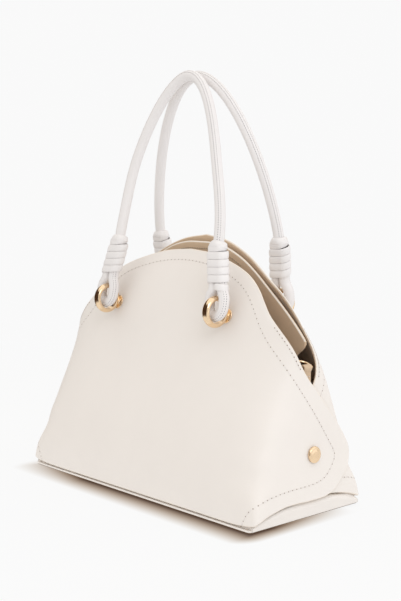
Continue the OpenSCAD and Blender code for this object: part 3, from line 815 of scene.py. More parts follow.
class Graph:
    """Adds nodes to a tree. Their inputs, by name or number, are plain values or other nodes' sockets."""

    def __init__(self, tree):
        self.tree = tree

    def put(self, kind, inputs, **settings):
        """Adds a node with its settings and inputs."""
        row, column = divmod(len(self.tree.nodes), NODE_ROW)
        node = self.tree.nodes.new(kind)
        node.location = (NODE_STEP * column, -NODE_STEP * row)
        for name, value in settings.items():
            setattr(node, name, value)
        self.feed(node, inputs)
        return node

    def feed(self, node, inputs):
        """Sets or links the inputs of a node."""
        for name, value in inputs.items():
            if isinstance(value, bpy.types.NodeSocket):
                self.tree.links.new(value, node.inputs[name])
            else:
                node.inputs[name].default_value = value

    def maths(self, operation, *values):
        """Result of a math node."""
        return self.put("ShaderNodeMath", dict(enumerate(values)), operation=operation).outputs[0]

    def times(self, first, second):
        """Product of two values."""
        return self.maths("MULTIPLY", first, second)

    def blend(self, first, first_share, second, second_share):
        """Sum of two values, each times its share."""
        return self.maths("ADD", self.times(first, first_share), self.times(second, second_share))

    def spread(self, value, low, high, to_low=0.0, to_high=1.0):
        """Maps a range of a value to another range."""
        inputs = {"Value": value, "From Min": low, "From Max": high, "To Min": to_low, "To Max": to_high}
        return self.put("ShaderNodeMapRange", inputs).outputs["Result"]

    def noise(self, where, scale, detail=2.0, rough=0.5):
        """Noise at some coordinates."""
        inputs = {"Vector": where, "Scale": scale, "Detail": detail, "Roughness": rough}
        return self.put("ShaderNodeTexNoise", inputs).outputs["Fac"]

    def mix(self, factor, first, second, blend_type="MIX"):
        """Mixes two colours by a factor."""
        inputs = {"Factor": factor, 6: first, 7: second}
        return self.put("ShaderNodeMix", inputs, data_type="RGBA", blend_type=blend_type).outputs[2]

    def place(self, kind="Object"):
        """Coordinates of the point that is shaded."""
        return self.put("ShaderNodeTexCoord", {}).outputs[kind]


class Group(Graph):
    """A shader node group. Its sockets take their kind from the number of their values."""

    def __init__(self, name, inputs, outputs):
        super().__init__(bpy.data.node_groups.new(name, "ShaderNodeTree"))
        kinds = {1: "NodeSocketFloat", 3: "NodeSocketVector", 4: "NodeSocketColor"}
        for label, value in inputs.items():
            kind = kinds[np.size(value)]
            socket = self.tree.interface.new_socket(name=label, in_out="INPUT", socket_type=kind)
            socket.default_value = value
        for label in outputs:
            kind = kinds[4 if label == "Color" else 1]
            self.tree.interface.new_socket(name=label, in_out="OUTPUT", socket_type=kind)
        self.given = self.put("NodeGroupInput", {}).outputs
        self.end = self.put("NodeGroupOutput", {})


# Tones that every finish has, and what a finish puts out
TONES = {"Light Tone": (0.9, 0.8, 0.7, 1.0), "Deep Tone": (0.8, 0.7, 0.6, 1.0)}
FINISH = ("Color", "Roughness", "Height")


def leather_group():
    """Smooth leather: fine pebbled grain, soft unevenness, a slow drift of tone and of gloss."""
    own = {"Grain Scale": 1300.0, "Grain Depth": 0.5, "Unevenness": 0.5, "Smoothest": 0.42, "Roughest": 0.55}
    group = Group("Smooth Leather", {**TONES, **own}, FINISH)
    given = group.given
    where = group.place()
    cloud = group.noise(where, scale=60.0)
    drift = group.blend(group.noise(where, scale=14.0, detail=3.0), 0.7, cloud, 0.3)
    cell_inputs = {"Vector": where, "Scale": given["Grain Scale"], "Smoothness": 0.6}
    cells = group.put("ShaderNodeTexVoronoi", cell_inputs, feature="SMOOTH_F1")
    pores = group.spread(cells.outputs["Distance"], 0.0, 0.8)
    tone = group.blend(group.spread(drift, 0.3, 0.7), 0.86, pores, 0.14)
    wave = group.times(group.noise(where, scale=42.0, detail=1.0), given["Unevenness"])
    pebble = group.times(group.maths("SUBTRACT", 1.0, pores), given["Grain Depth"])
    group.feed(group.end, {
        "Color": group.mix(tone, given["Light Tone"], given["Deep Tone"]),
        "Roughness": group.spread(cloud, 0.3, 0.7, given["Smoothest"], given["Roughest"]),
        "Height": group.blend(wave, 1.0, pebble, 0.05),
    })
    return group.tree


def suede_group():
    """Suede-like cloth: a short nap with brushed patches."""
    group = Group("Fine Suede", {**TONES, "Nap Scale": 2600.0}, FINISH)
    given = group.given
    where = group.place()
    patches = group.noise(where, scale=30.0, detail=4.0, rough=0.6)
    nap = group.noise(where, given["Nap Scale"], detail=3.0, rough=0.7)
    tone = group.spread(group.blend(patches, 0.7, nap, 0.5), 0.4, 0.8)
    group.feed(group.end, {
        "Color": group.mix(tone, given["Light Tone"], given["Deep Tone"]),
        "Roughness": group.spread(patches, 0.3, 0.7, 0.82, 0.95),
        "Height": nap,
    })
    return group.tree


def polish_group():
    """Polished plate: hairline scratches, faint finger marks and a slight drift of tone."""
    group = Group("Polished Plate", {**TONES, "Smoothest": 0.06, "Roughest": 0.16}, FINISH)
    given = group.given
    where = group.place()
    stretch = {"Vector": where, "Scale": (1.0, 9.0, 2.5), "Rotation": (0.5, 0.3, 0.8)}
    brushed = group.put("ShaderNodeMapping", stretch).outputs["Vector"]
    marks = group.noise(where, scale=160.0, detail=3.0)
    hairlines = group.noise(brushed, scale=900.0)
    worn = group.blend(marks, 0.6, hairlines, 0.4)
    group.feed(group.end, {
        "Color": group.mix(group.spread(marks, 0.35, 0.65), given["Light Tone"], given["Deep Tone"]),
        "Roughness": group.spread(worn, 0.35, 0.65, given["Smoothest"], given["Roughest"]),
        "Height": hairlines,
    })
    return group.tree


def thread_group():
    """Twisted thread: fine slanted plies with a little fuzz."""
    group = Group("Twisted Thread", {**TONES, "Ply Scale": 1500.0}, ("Color", "Height"))
    given = group.given
    where = group.place()
    bands = {"Vector": where, "Scale": given["Ply Scale"], "Distortion": 1.5}
    plies = group.put("ShaderNodeTexWave", bands, wave_type="BANDS", bands_direction="DIAGONAL")
    twist = group.blend(plies.outputs["Fac"], 0.6, group.noise(where, scale=3200.0), 0.4)
    colour = group.mix(twist, given["Deep Tone"], given["Light Tone"])
    group.feed(group.end, {"Color": colour, "Height": twist})
    return group.tree


def shade(colour, share=1.0):
    """A colour brought down by a share, with full alpha."""
    return (colour[0] * share, colour[1] * share, colour[2] * share, 1.0)


def new_material(name):
    """A material, the graph of its nodes and its shader."""
    material = bpy.data.materials.new(name)
    material.use_nodes = True
    graph = Graph(material.node_tree)
    return material, graph, graph.tree.nodes["Principled BSDF"]


def dress(name, group, colour, tones, relief, values, shader):
    """A material whose colour, gloss and relief come from a finish. Its tones are shares of one colour."""
    graph, principled = new_material(name)[1:]
    values = {**values, **{label: shade(colour, share) for label, share in zip(TONES, tones)}}
    made = graph.put("ShaderNodeGroup", values, node_tree=group).outputs
    bump = {"Strength": relief[0], "Distance": relief[1], "Height": made["Height"]}
    shader = {**shader, "Normal": graph.put("ShaderNodeBump", bump).outputs["Normal"]}
    shader["Base Color"] = made["Color"]
    if "Roughness" in made:
        shader["Roughness"] = made["Roughness"]
    graph.feed(principled, shader)


COLOUR = {"subtype": "COLOR", "size": 3, "min": 0.0, "max": 1.0}
SHARE = {"min": 0.0, "max": 1.0}


class BagLeather(bpy.types.PropertyGroup):
    """Leather of the body and handles"""

    ivory: FloatVectorProperty(
        name="Ivory", description="Colour of the panels and base", default=(0.84, 0.785, 0.735), **COLOUR
    )
    handle_white: FloatVectorProperty(
        name="Handle White", description="Colour of the handles", default=(0.82, 0.785, 0.77), **COLOUR
    )
    edge_paint: FloatVectorProperty(
        name="Edge Paint", description="Colour of the painted edges", default=(0.87, 0.79, 0.70), **COLOUR
    )
    thread: FloatVectorProperty(
        name="Thread", description="Colour of the sewing thread", default=(0.84, 0.79, 0.755), **COLOUR
    )
    # Painted shade in the needle holes
    needle_hole_shade: FloatVectorProperty(
        name="Needle Hole", description="Colour of the needle holes", default=(0.43, 0.35, 0.285), **COLOUR
    )
    stitch_pitch: FloatProperty(
        name="Stitch Pitch", description="Length of one stitch on the panels",
        unit="LENGTH", min=0.002, max=0.007, default=0.0052,
    )
    handle_stitch_pitch: FloatProperty(
        name="Handle Stitch Pitch", description="Length of one stitch on the handles",
        unit="LENGTH", min=0.0015, max=0.004, default=0.0022,
    )


class BagLining(bpy.types.PropertyGroup):
    """Lining and divider"""

    taupe: FloatVectorProperty(
        name="Taupe", description="Colour of the lining", default=(0.68, 0.50, 0.335), **COLOUR
    )
    divider_row: FloatProperty(
        name="Divider Row", description="Distance of the divider's stitch row from its edge",
        unit="LENGTH", min=0.004, max=0.012, default=0.007,
    )


class BagFittings(bpy.types.PropertyGroup):
    """Gilt rings and rivets"""

    gilt: FloatVectorProperty(
        name="Gilt", description="Colour of the plated fittings", default=(0.90, 0.68, 0.45), **COLOUR
    )
    polish: FloatProperty(
        name="Polish", description="Roughness of the best polished places", min=0.0, max=0.5, default=0.07
    )


class BagStage(bpy.types.PropertyGroup):
    """Floor, light and camera"""

    floor: FloatVectorProperty(
        name="Floor", description="Colour of the floor and backdrop", default=(0.95, 0.95, 0.95), **COLOUR
    )
    # Colour of a painted dark reflection, which only glossy rays see
    painted_dark_reflection: FloatVectorProperty(
        name="Painted Dark Reflection", description="Colour of the screen at the front left",
        default=(0.07, 0.04, 0.025), **COLOUR,
    )
    shadow_warmth: FloatProperty(
        name="Shadow Warmth", description="How brown the shadow at the base is", default=0.28, **SHARE
    )
    floor_glow: FloatProperty(
        name="Floor Glow", description="Share of plain floor colour near the bag", default=0.92, **SHARE
    )
    # The floor's glow for rays other than the camera's, a painted bounce light
    floor_bounce: FloatProperty(
        name="Floor Bounce", description="Share of plain floor light thrown back up", default=0.95, **SHARE
    )
    surround: FloatProperty(
        name="Surround", description="Strength of the light from all round", min=0.0, max=2.0, default=0.83
    )
    fill_power: FloatProperty(
        name="Fill Light", description="Power of the low lamp", subtype="POWER", min=0, max=100, default=2.7
    )
    key_power: FloatProperty(
        name="Key Light", description="Power of the high lamp", subtype="POWER", min=0, max=100, default=2.9
    )
    key_size: FloatProperty(
        name="Key Size", description="Width of the high lamp", unit="LENGTH", min=0.1, max=3.0, default=0.7
    )


def share_materials():
    """Makes each material once and returns them all by name."""
    made = bpy.data.materials
    if "Ivory Leather" in made:
        return {material.name: material for material in made}
    scene = bpy.context.scene
    leather = scene.bag_leather
    taupe = scene.bag_lining.taupe
    gilt = scene.bag_fittings.gilt
    polish = scene.bag_fittings.polish
    skins = leather_group()
    for name, colour, tones, relief, grain, depth, unevenness, smoothest, roughest, shader in (
        ("Ivory Leather", leather.ivory, (1.0, 0.965), (0.6, 0.0006), 1250.0, 0.9, 0.9, 0.44, 0.56,
         {"Specular IOR Level": 0.42, "Sheen Weight": 0.06}),
        ("Handle Leather", leather.handle_white, (1.0, 0.97), (0.6, 0.0005), 1500.0, 0.8, 0.35, 0.38, 0.50,
         {"Specular IOR Level": 0.45}),
        ("Painted Edge", leather.edge_paint, (1.0, 0.94), (0.4, 0.0003), 700.0, 0.4, 0.5, 0.30, 0.42,
         {"Specular IOR Level": 0.5}),
    ):
        values = {"Grain Scale": grain, "Grain Depth": depth, "Unevenness": unevenness}
        values.update({"Smoothest": smoothest, "Roughest": roughest})
        dress(name, skins, colour, tones, relief, values, shader)
    suede = suede_group()
    for name, colour, tones, relief, nap, shader in (
        ("Taupe Suede", taupe, (1.0, 0.86), (0.5, 0.0002), 2400.0,
         {"Specular IOR Level": 0.2, "Sheen Weight": 0.35, "Sheen Roughness": 0.5}),
        # Dark discs that stand for the shade in the needle holes
        ("Needle Hole", leather.needle_hole_shade, (1.0, 0.7), (0.3, 0.0001), 3000.0, {"Specular IOR Level": 0.1}),
        ("Grey Hole", (0.30, 0.30, 0.32), (1.0, 0.734), (0.3, 0.0001), 3000.0, {"Specular IOR Level": 0.1}),
        # Painted shade at the foot of the base, where it meets the floor
        ("Sole Edge", (0.20, 0.13, 0.085), (1.0, 0.65), (0.3, 0.0001), 1500.0, {"Specular IOR Level": 0.2}),
        ("Grey Board", (0.27, 0.25, 0.22), (1.0, 0.74), (0.4, 0.0002), 900.0, {"Specular IOR Level": 0.2}),
    ):
        dress(name, suede, colour, tones, relief, {"Nap Scale": nap}, shader)
    plate = polish_group()
    for name, tones, relief, smoothest, roughest in (
        ("Polished Gilt", (1.0, 0.93), (0.12, 0.00003), polish, polish + 0.08),
        ("Brushed Gilt", (0.92, 0.80), (0.25, 0.00005), polish + 0.12, polish + 0.28),
    ):
        values = {"Smoothest": smoothest, "Roughest": roughest}
        dress(name, plate, gilt, tones, relief, values, {"Metallic": 1.0})
    twist = thread_group()
    for name, colour, tones, relief, ply, shader in (
        ("Ivory Thread", leather.thread, (1.0, 0.9), (0.5, 0.00012), 1300.0,
         {"Roughness": 0.7, "Sheen Weight": 0.2}),
        ("Taupe Thread", taupe, (0.75, 0.5), (0.5, 0.00012), 1300.0,
         {"Roughness": 0.75, "Sheen Weight": 0.2}),
        ("Piping Cord", (0.62, 0.58, 0.52), (1.0, 0.66), (0.6, 0.0004), 260.0, {"Roughness": 0.85}),
    ):
        dress(name, twist, colour, tones, relief, {"Ply Scale": ply}, shader)
    return {material.name: material for material in made}


def give_material(node, material):
    """Gives a solid of the frame its finish."""
    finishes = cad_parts[node].data.materials
    finishes.clear()
    finishes.append(material)


# Rows and sides of the bag, with their names
ROWS = ((True, "front"), (False, "back"))
SIDES = ((-1, "left"), (1, "right"))

# Columns and rows in the nets of the panels and linings, and how far the lining stops before the edge
PANEL_COLUMNS = 300
PANEL_ROWS = 46
LINING_COLUMNS = 220
LINING_ROWS = 30
LINING_MARGIN = 0.0009
# Rounding and sharp angle of the cloth's edges, least corner of a plate, and points round corners and edges
CLOTH_ROUNDING = 0.0003
CLOTH_SHARP = 40
LEAST_CORNER = 0.0002
CORNER_STEPS = 10
PLATE_STEPS = 11

# Short rows of stitches on the wings: distance from the edge, shares of the turn that they span, and pitch
EDGE_ROW_INSET = 0.0030
EDGE_ROW_SPAN = (0.385, 0.56)
EDGE_ROW_PITCH = 0.75


class BAG_OT_panels(bpy.types.Operator):
    """Make the front and back panels with their painted edges and stitch rows"""

    bl_idname = "bag.panels"
    bl_label = "Panels"

    def execute(self, context):
        pitch = context.scene.bag_leather.stitch_pitch
        parts = share_materials()
        leathers = [parts["Ivory Leather"], parts["Painted Edge"], parts["Ivory Leather"]]
        for front, row in ROWS:
            node = row + "_panel"
            shell, edge = sheet_shell(front, 0.0, LEATHER, 0.0, PANEL_COLUMNS, PANEL_ROWS, 1.0)
            piece = shell.piece(node + "_leather", "bag", "body_leather", leathers)
            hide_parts(node)
            self.sew_row(node + "_stitches", *stitch_row(front, PANEL_COLUMNS), front, pitch)
            turn, height = move_in(*edge, front, EDGE_ROW_INSET)
            share = np.abs(turn) / WING_WRAP
            top = np.arange(len(turn)) < PANEL_COLUMNS
            span = top & (share > EDGE_ROW_SPAN[0]) & (share < EDGE_ROW_SPAN[1])
            for side, label in SIDES:
                near = span & (turn * side > 0)
                name = f"{node}_{label}_edge_stitches"
                self.sew_row(name, turn[near], height[near], front, pitch * EDGE_ROW_PITCH)
        return {"FINISHED"}

    def sew_row(self, name, turn, height, front, pitch):
        """A row of stitches along a line on a panel."""
        parts = share_materials()
        path = panel_point(turn, height, front)
        facing = panel_frame(turn, height, front)[2]
        sew(name, path, facing, "bag", "body_leather", pitch, [parts["Ivory Thread"], parts["Needle Hole"]])


class BAG_OT_linings(bpy.types.Operator):
    """Make the suede linings of both panels and of the floor"""

    bl_idname = "bag.linings"
    bl_label = "Linings"

    def execute(self, context):
        cloth = [share_materials()["Taupe Suede"]] * 3
        for front, row in ROWS:
            node = row + "_lining"
            depth = LEATHER + GLUE
            shell, _ = sheet_shell(front, depth, LINING, LINING_MARGIN, LINING_COLUMNS, LINING_ROWS, 0.0)
            piece = shell.piece(node + "_suede", "bag", "lining", cloth)
            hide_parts(node)
        low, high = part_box("floor_lining")
        shell = Shell()
        shell.loft(plate_loops(high.x, high.y, BASE_CORNER, low.z, high.z, CLOTH_ROUNDING))
        piece = shell.piece("floor_lining_suede", "bag", "lining", cloth, sharp=CLOTH_SHARP)
        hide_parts("floor_lining")
        return {"FINISHED"}


def plate_outline(half_width, half_depth, corner, inset):
    """A rounded rectangle, with the same number of points at any inset."""
    radius = max(corner - inset, LEAST_CORNER)
    quarters = []
    for quarter, (side, end) in enumerate(((1, 1), (-1, 1), (-1, -1), (1, -1))):
        angle = np.pi / 2 * (quarter + np.linspace(0, 1, CORNER_STEPS))
        x = side * (half_width - inset - radius) + radius * np.cos(angle)
        y = end * (half_depth - inset - radius) + radius * np.sin(angle)
        quarters.append(np.stack([x, y], axis=1))
    return np.concatenate(quarters)


def plate_loop(half_width, half_depth, corner, inset, level):
    """A rounded rectangle at a height."""
    flat = plate_outline(half_width, half_depth, corner, inset)
    return np.hstack([flat, np.full((len(flat), 1), level)])


def plate_loops(half_width, half_depth, corner, low, high, rounding):
    """Loops of a flat plate with rounded upper and lower edges."""
    loops = []
    for angle in np.radians(np.linspace(-90, 90, PLATE_STEPS)):
        middle = high - rounding if angle > 0 else low + rounding
        inset = rounding * (1 - math.cos(angle))
        loops.append(plate_loop(half_width, half_depth, corner, inset, middle + rounding * math.sin(angle)))
    return loops


# Edge of the base from its underside to its top: how far in, and how high. Its first rows of faces are
# painted dark, as shade where the base meets the floor
BASE_EDGE = (
    (0.0040, 0.0), (0.0026, 0.0001), (0.0014, 0.0006), (0.0007, 0.0011), (0.0002, 0.0016), (0.0, 0.0020),
    (0.0, 0.0024), (0.0002, 0.0028), (0.0008, 0.0030), (0.0040, 0.0030),
)
SHADED_SOLE_ROWS = 4
# Steps round the rim, how low it starts in the base's thickness, and how sharply it rises to the lips
RIM_STEPS = 480
RIM_FOOT = 0.75
RIM_POWER = 8
# Shares of the rim's height that have a ring of points outside and inside
RIM_OUTSIDE = (0.12, 0.24, 0.36, 0.48, 0.6, 0.75, 0.9)
RIM_INSIDE = (0.9, 0.5, 0.0)
# Heights of the lip's foot, and how soon and how far under the wing's edge it turns in
LIP_FOOT = (0.0016, 0.0024, 0.0034)
LIP_EASE = 0.005
LIP_TUCK = 0.0045
# Outward slope of the lip, and how far it stands out at its foot
LIP_FLARE = 0.25
LIP_OUT = 0.0001
# Where a lip starts to spread towards the corners, how soon, and by how much
SPREAD_START = 0.055
SPREAD_RUN = 0.0125
SPREAD = 0.0033
# Sine of the turn at which the base's end begins, and how soon the lip is full there
END_START = 0.705
END_RUN = 0.006


class BAG_OT_base(bpy.types.Operator):
    """Make the base with its turned-up rim and lips"""

    bl_idname = "bag.base"
    bl_label = "Base"

    def execute(self, context):
        parts = share_materials()
        shell = Shell()
        size = (BASE_WIDTH / 2, BASE_DEPTH / 2, BASE_CORNER)
        numbers = shell.loft([plate_loop(*size, inset, level) for inset, level in BASE_EDGE])
        # The lowest rows of the edge take the dark material, painted shade at the floor
        dark = len(numbers[0]) * SHADED_SOLE_ROWS
        shell.marks[:dark] = [2] * dark
        self.add_rim(shell)
        leathers = [parts["Ivory Leather"], parts["Painted Edge"], parts["Sole Edge"]]
        piece = shell.piece("base_leather", "bag", "body_leather", leathers)
        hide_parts("base_panel")
        give_material("base_board", parts["Grey Board"])
        return {"FINISHED"}

    def add_rim(self, shell):
        """The rim inside the panels, which comes out under the wings as a lip at each end."""
        angle = np.linspace(0, 360, RIM_STEPS, endpoint=False)
        sine = np.abs(np.sin(np.radians(angle)))
        low = BASE_THICKNESS * RIM_FOOT
        top = BASE_THICKNESS + RIM_HEIGHT + (LIP_HEIGHT - RIM_HEIGHT) * sine**RIM_POWER
        radius = RIM_THICKNESS / 2
        end = ease((sine - END_START) / END_RUN)
        wing = edge_heights(np.degrees(np.arcsin(sine)), True)[1]
        rings = [(0.0, level, 0) for level in LIP_FOOT]
        rings += [(0.0, low + (top - radius - low) * share, 0) for share in RIM_OUTSIDE]
        for turn in np.linspace(0, np.pi, EDGE_STEPS):
            rings.append((radius * (1 - math.cos(turn)), top - radius + radius * math.sin(turn), 1))
        rings += [(RIM_THICKNESS, low + (top - radius - low) * share, 0) for share in RIM_INSIDE]
        numbers = []
        for inset, level, _ in rings:
            end_in = LAP + PANEL_STACK + LAYER_GAP + inset
            side_in = PANEL_STACK + LAP_GAP + inset
            ring = skin(angle, np.broadcast_to(level, angle.shape), True, end_in, side_in, side_in)
            if not inset:
                flush = end * (1 - ease((level - wing + LIP_TUCK) / LIP_EASE))
                reach = BASE_WIDTH / 2 + LIP_OUT + LIP_FLARE * (level - LIP_FOOT[0])
                ring[:, 0] += flush * (np.sign(ring[:, 0]) * reach - ring[:, 0])
                corner = ease((np.abs(ring[:, 1]) - SPREAD_START) / SPREAD_RUN)
                ring[:, 1] += flush * np.sign(ring[:, 1]) * SPREAD * corner
            numbers.append(shell.add(ring))
        for i in range(len(rings) - 1):
            shell.join(numbers[i], numbers[i + 1], rings[i][2] * rings[i + 1][2])
        shell.join(numbers[-1], numbers[0])


def divider_outline(inset):
    """Outline of the divider in its own plane, moved in by a distance."""
    half = np.array([(x * DIVIDER_WIDTH / 2, z * (DIVIDER_HEIGHT - FLOOR_Z)) for x, z in DIVIDER_SHARES])
    fine = [half[0]]
    for i in range(len(half) - 1):
        before = half[i - 1] if i else half[1] * (-1, 1)
        after = half[i + 2] if i + 2 < len(half) else half[i + 1] + (half[i + 1] - half[i])
        for t in np.linspace(0, 1, DIVIDER_FINE)[1:]:
            a = 2 * half[i] + (half[i + 1] - before) * t
            b = (2 * before - 5 * half[i] + 4 * half[i + 1] - after) * t**2
            c = (3 * half[i] - before - 3 * half[i + 1] + after) * t**3
            fine.append((a + b + c) / 2)
    foot_x = half[-1][0]
    right = np.array(fine + [(foot_x, DIVIDER_CUT_TOP), (foot_x - DIVIDER_CUT, LAYER_GAP)])
    left = right[::-1] * (-1, 1)
    closed = np.hstack([np.concatenate([right, left]), np.zeros((2 * len(right), 1))])
    even = even_path(closed, DIVIDER_STEP)[0][:-1, :2]
    run = unit(np.roll(even, -1, 0) - np.roll(even, 1, 0))
    return even + np.stack([-run[:, 1], run[:, 0]], axis=1) * -inset


class BAG_OT_divider(bpy.types.Operator):
    """Make the suede divider that stands before the back panel"""

    bl_idname = "bag.divider"
    bl_label = "Divider"

    def execute(self, context):
        parts = share_materials()
        radius = DIVIDER_THICKNESS / 2
        sizes = [(inset, radius, False) for inset in DIVIDER_INSETS]
        for angle in np.radians(np.linspace(0, 180, PLATE_STEPS)):
            sizes.append((radius * (1 - math.sin(angle)), radius * math.cos(angle), True))
        sizes += [(inset, -radius, False) for inset in DIVIDER_INSETS[::-1]]
        shell = Shell()
        numbers = [shell.add(self.stand(divider_outline(inset), depth)) for inset, depth, _ in sizes]
        upper = divider_outline(0.0)[:, 1] > DIVIDER_HEIGHT * PAINT_START
        for i in range(len(sizes) - 1):
            shell.join(numbers[i], numbers[i + 1])
            if sizes[i][2] and sizes[i][1] > PAINT_DEPTH:
                shell.marks[-len(upper):] = upper.astype(int).tolist()
        shell.cap(numbers[0][::-1])
        shell.cap(numbers[-1])
        piece = shell.piece("divider_suede", "bag", "lining", [parts["Taupe Suede"], parts["Painted Edge"]])
        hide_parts("divider_front", "divider_back")
        give_material("divider_board", parts["Grey Board"])
        row = divider_outline(context.scene.bag_lining.divider_row)
        row = row[(row[:, 1] > DIVIDER_HEIGHT * PAINT_START) & (np.abs(row[:, 0]) < ROW_REACH)]
        path = self.stand(row[np.argsort(row[:, 0])], radius)
        facing = np.tile([0.0, -math.cos(DIVIDER_LEAN), math.sin(DIVIDER_LEAN)], (len(path), 1))
        pitch = context.scene.bag_leather.stitch_pitch * DIVIDER_PITCH
        sewing = [parts["Taupe Thread"], parts["Needle Hole"]]
        sew("divider_stitches", path, facing, "bag", "lining", pitch, sewing)
        return {"FINISHED"}

    def stand(self, flat, depth):
        """Leans points of the divider's own plane, at a depth from it, to where the divider stands."""
        cosine = math.cos(DIVIDER_LEAN)
        sine = math.sin(DIVIDER_LEAN)
        y = DIVIDER_FOOT_Y + flat[:, 1] * sine - depth * cosine
        z = FLOOR_Z + flat[:, 1] * cosine + depth * sine
        return np.stack([flat[:, 0], y, z], axis=1)


# Angle of the seam round a handle's legs and round its rings, spacing of its points, and its stitches
SEAM_AT_LEG = {True: 215.0, False: 190.0}
SEAM_AT_RING = {True: 315.0, False: 45.0}
HANDLE_STEP = 0.0022
HANDLE_SUNK = 0.00002
HANDLE_THREAD = 0.00026
HANDLE_HOLE = 0.00052


class BAG_OT_handles(bpy.types.Operator):
    """Make the two rolled handles with their seams"""

    bl_idname = "bag.handles"
    bl_label = "Handles"

    def execute(self, context):
        pitch = context.scene.bag_leather.handle_stitch_pitch
        parts = share_materials()
        sewing = [parts["Ivory Thread"], parts["Grey Hole"]]
        look = (sewing, HANDLE_SUNK, HANDLE_THREAD, HANDLE_HOLE, 0.0)
        for front, row in ROWS:
            body = row + "_handle"
            line = HandleLine(front)
            flat, twist = line.route(HANDLE_STEP)
            seam = SEAM_AT_LEG[front] + (SEAM_AT_RING[front] - SEAM_AT_LEG[front]) * twist
            columns = []
            for angle in TUBE_ANGLES:
                columns.append(line.around(flat, np.radians(seam + angle), tube_radius_at(angle)))
            shell = Shell()
            shell.loft(list(np.stack(columns, axis=1)))
            piece = shell.piece(body + "_leather", body, "handle_leather", [parts["Handle Leather"]])
            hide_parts(body + "_cover")
            give_material(body + "_core", parts["Piping Cord"])
            for number, angle in enumerate((0.0, SECOND_ROW_ANGLE), 1):
                path = line.around(flat, np.radians(seam + angle), tube_radius_at(angle))
                facing = unit(line.around(flat, np.radians(seam + angle), 2 * TUBE_RADIUS) - path)
                sew(f"{body}_stitches_{number}", path, facing, body, "handle_leather", pitch, *look)
        return {"FINISHED"}


# Cross-section of a wrap's strip: out from the tube, and along the handle, as shares
STRIP_SHARES = (
    (-0.5, -0.44), (-0.5, 0.44), (-0.2, 0.5), (0.18, 0.48), (0.42, 0.38), (0.6, 0.16),
    (0.62, 0.0), (0.6, -0.16), (0.42, -0.38), (0.18, -0.48), (-0.2, -0.5),
)
# Steps in one turn of the strip, and points round its collar
WRAP_STEPS = 60
WRAP_SIDES = 48
# Turns in which the strip comes out and goes back under itself, and how thin, narrow and deep it is there
TUCK_OUT = 0.4
TUCK_BACK = 1 / 12
TUCK_THIN = 0.45
TUCK_NARROW = 0.88
TUCK_SINK = 0.0003
# Heights above the wrap's end and radii of the collar that closes it, and its width at its top
COLLAR = (
    (-0.0058, 0.0060), (-0.0055, 0.0068), (-0.0046, 0.0071), (-0.0030, 0.0071), (-0.0016, 0.0069),
    (-0.0006, 0.0065), (0.0002, 0.0059), (0.0006, 0.0053), (0.0005, 0.0048),
)
COLLAR_LAG = 0.003
COLLAR_WIDTH = 0.85
# Heights, radii and distances out of the strip's last turn, which holds one strand, and how loose it lies
TAIL = (
    (0.0190, 0.0046, 0.0052), (0.0189, 0.0056, 0.0050), (0.0193, 0.0061, 0.0047), (0.0204, 0.0063, 0.0044),
    (0.0219, 0.0064, 0.0043), (0.0234, 0.0064, 0.0042), (0.0246, 0.0063, 0.0042), (0.0252, 0.0060, 0.0042),
    (0.0254, 0.0050, 0.0045),
)
TAIL_SLACK = 0.0006


def squared(angle):
    """A cosine that keeps longer to its ends, for a loop round two strands side by side."""
    reach = np.clip(WRAP_SQUARENESS * np.cos(angle), -1, 1)
    return reach * (3 - reach**2) / 2


class BAG_OT_wraps(bpy.types.Operator):
    """Wind the leather strips round the strands above each ring"""

    bl_idname = "bag.wraps"
    bl_label = "Wraps"

    def execute(self, context):
        parts = share_materials()
        around = circle(WRAP_SIDES)
        for front, row in ROWS:
            line = HandleLine(front)
            for side, label in SIDES:
                shell = Shell()
                self.wind(shell, line, side)
                rings = []
                for above, radius in COLLAR:
                    h = WRAP_END + above
                    low = min(1.0, max(0.0, -above / COLLAR_LAG))
                    wide = float(line.strand(h - COLLAR_LAG)) * (COLLAR_WIDTH + (1 - COLLAR_WIDTH) * low)
                    x = side * float(line.leg(h)) + radius * np.cos(around) + wide * squared(around)
                    rings.append(line.place(x, radius * np.sin(around), h))
                shell.loft(rings, caps=False)
                if front and side > 0:
                    rings = []
                    for h, radius, out in TAIL:
                        x = float(line.leg(h)) + out + (radius + TAIL_SLACK) * np.cos(around)
                        rings.append(line.place(x, radius * np.sin(around), h))
                    shell.loft(rings, caps=False)
                name = f"{row}_{label}_wrap"
                leather = [parts["Handle Leather"]]
                piece = shell.piece(name + "_strip", row + "_handle", "handle_leather", leather)
                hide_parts(name)
        return {"FINISHED"}

    def wind(self, shell, line, side):
        """The strip's turns round both strands of a leg."""
        turns = np.arange(WRAP_TURNS * WRAP_STEPS + 1) / WRAP_STEPS
        angle = np.pi / 2 + 2 * np.pi * turns
        middle = WRAP_START + STRIP_ROOM / 2 + WRAP_PITCH * turns
        widest = line.strand(np.maximum(middle - STRIP_ROOM / 2, FLARE_END))
        tuck = ease(turns / TUCK_OUT) * ease((turns[-1] - turns) / TUCK_BACK)
        out = TUBE_RADIUS + STRIP_GAP + STRIP_THICKNESS / 2
        columns = []
        for away, along in STRIP_SHARES:
            thick = STRIP_THICKNESS * (TUCK_THIN + (1 - TUCK_THIN) * tuck)
            off = out + away * thick - TUCK_SINK * (1 - tuck)
            h = middle + along * STRIP_WIDTH * (TUCK_NARROW + (1 - TUCK_NARROW) * tuck)
            x = side * line.leg(h) + widest * squared(angle) + off * np.cos(angle)
            columns.append(line.place(x, off * np.sin(angle), h))
        shell.loft(list(np.stack(columns, axis=1)))


# Points round a hoop, its foot and a rivet's cap, and round a hoop's outer face and its inner edges
HOOP_SIDES = 96
FOOT_SIDES = 48
RIVET_SIDES = 72
HOOP_STEPS = 19
FILLET_STEPS = 7
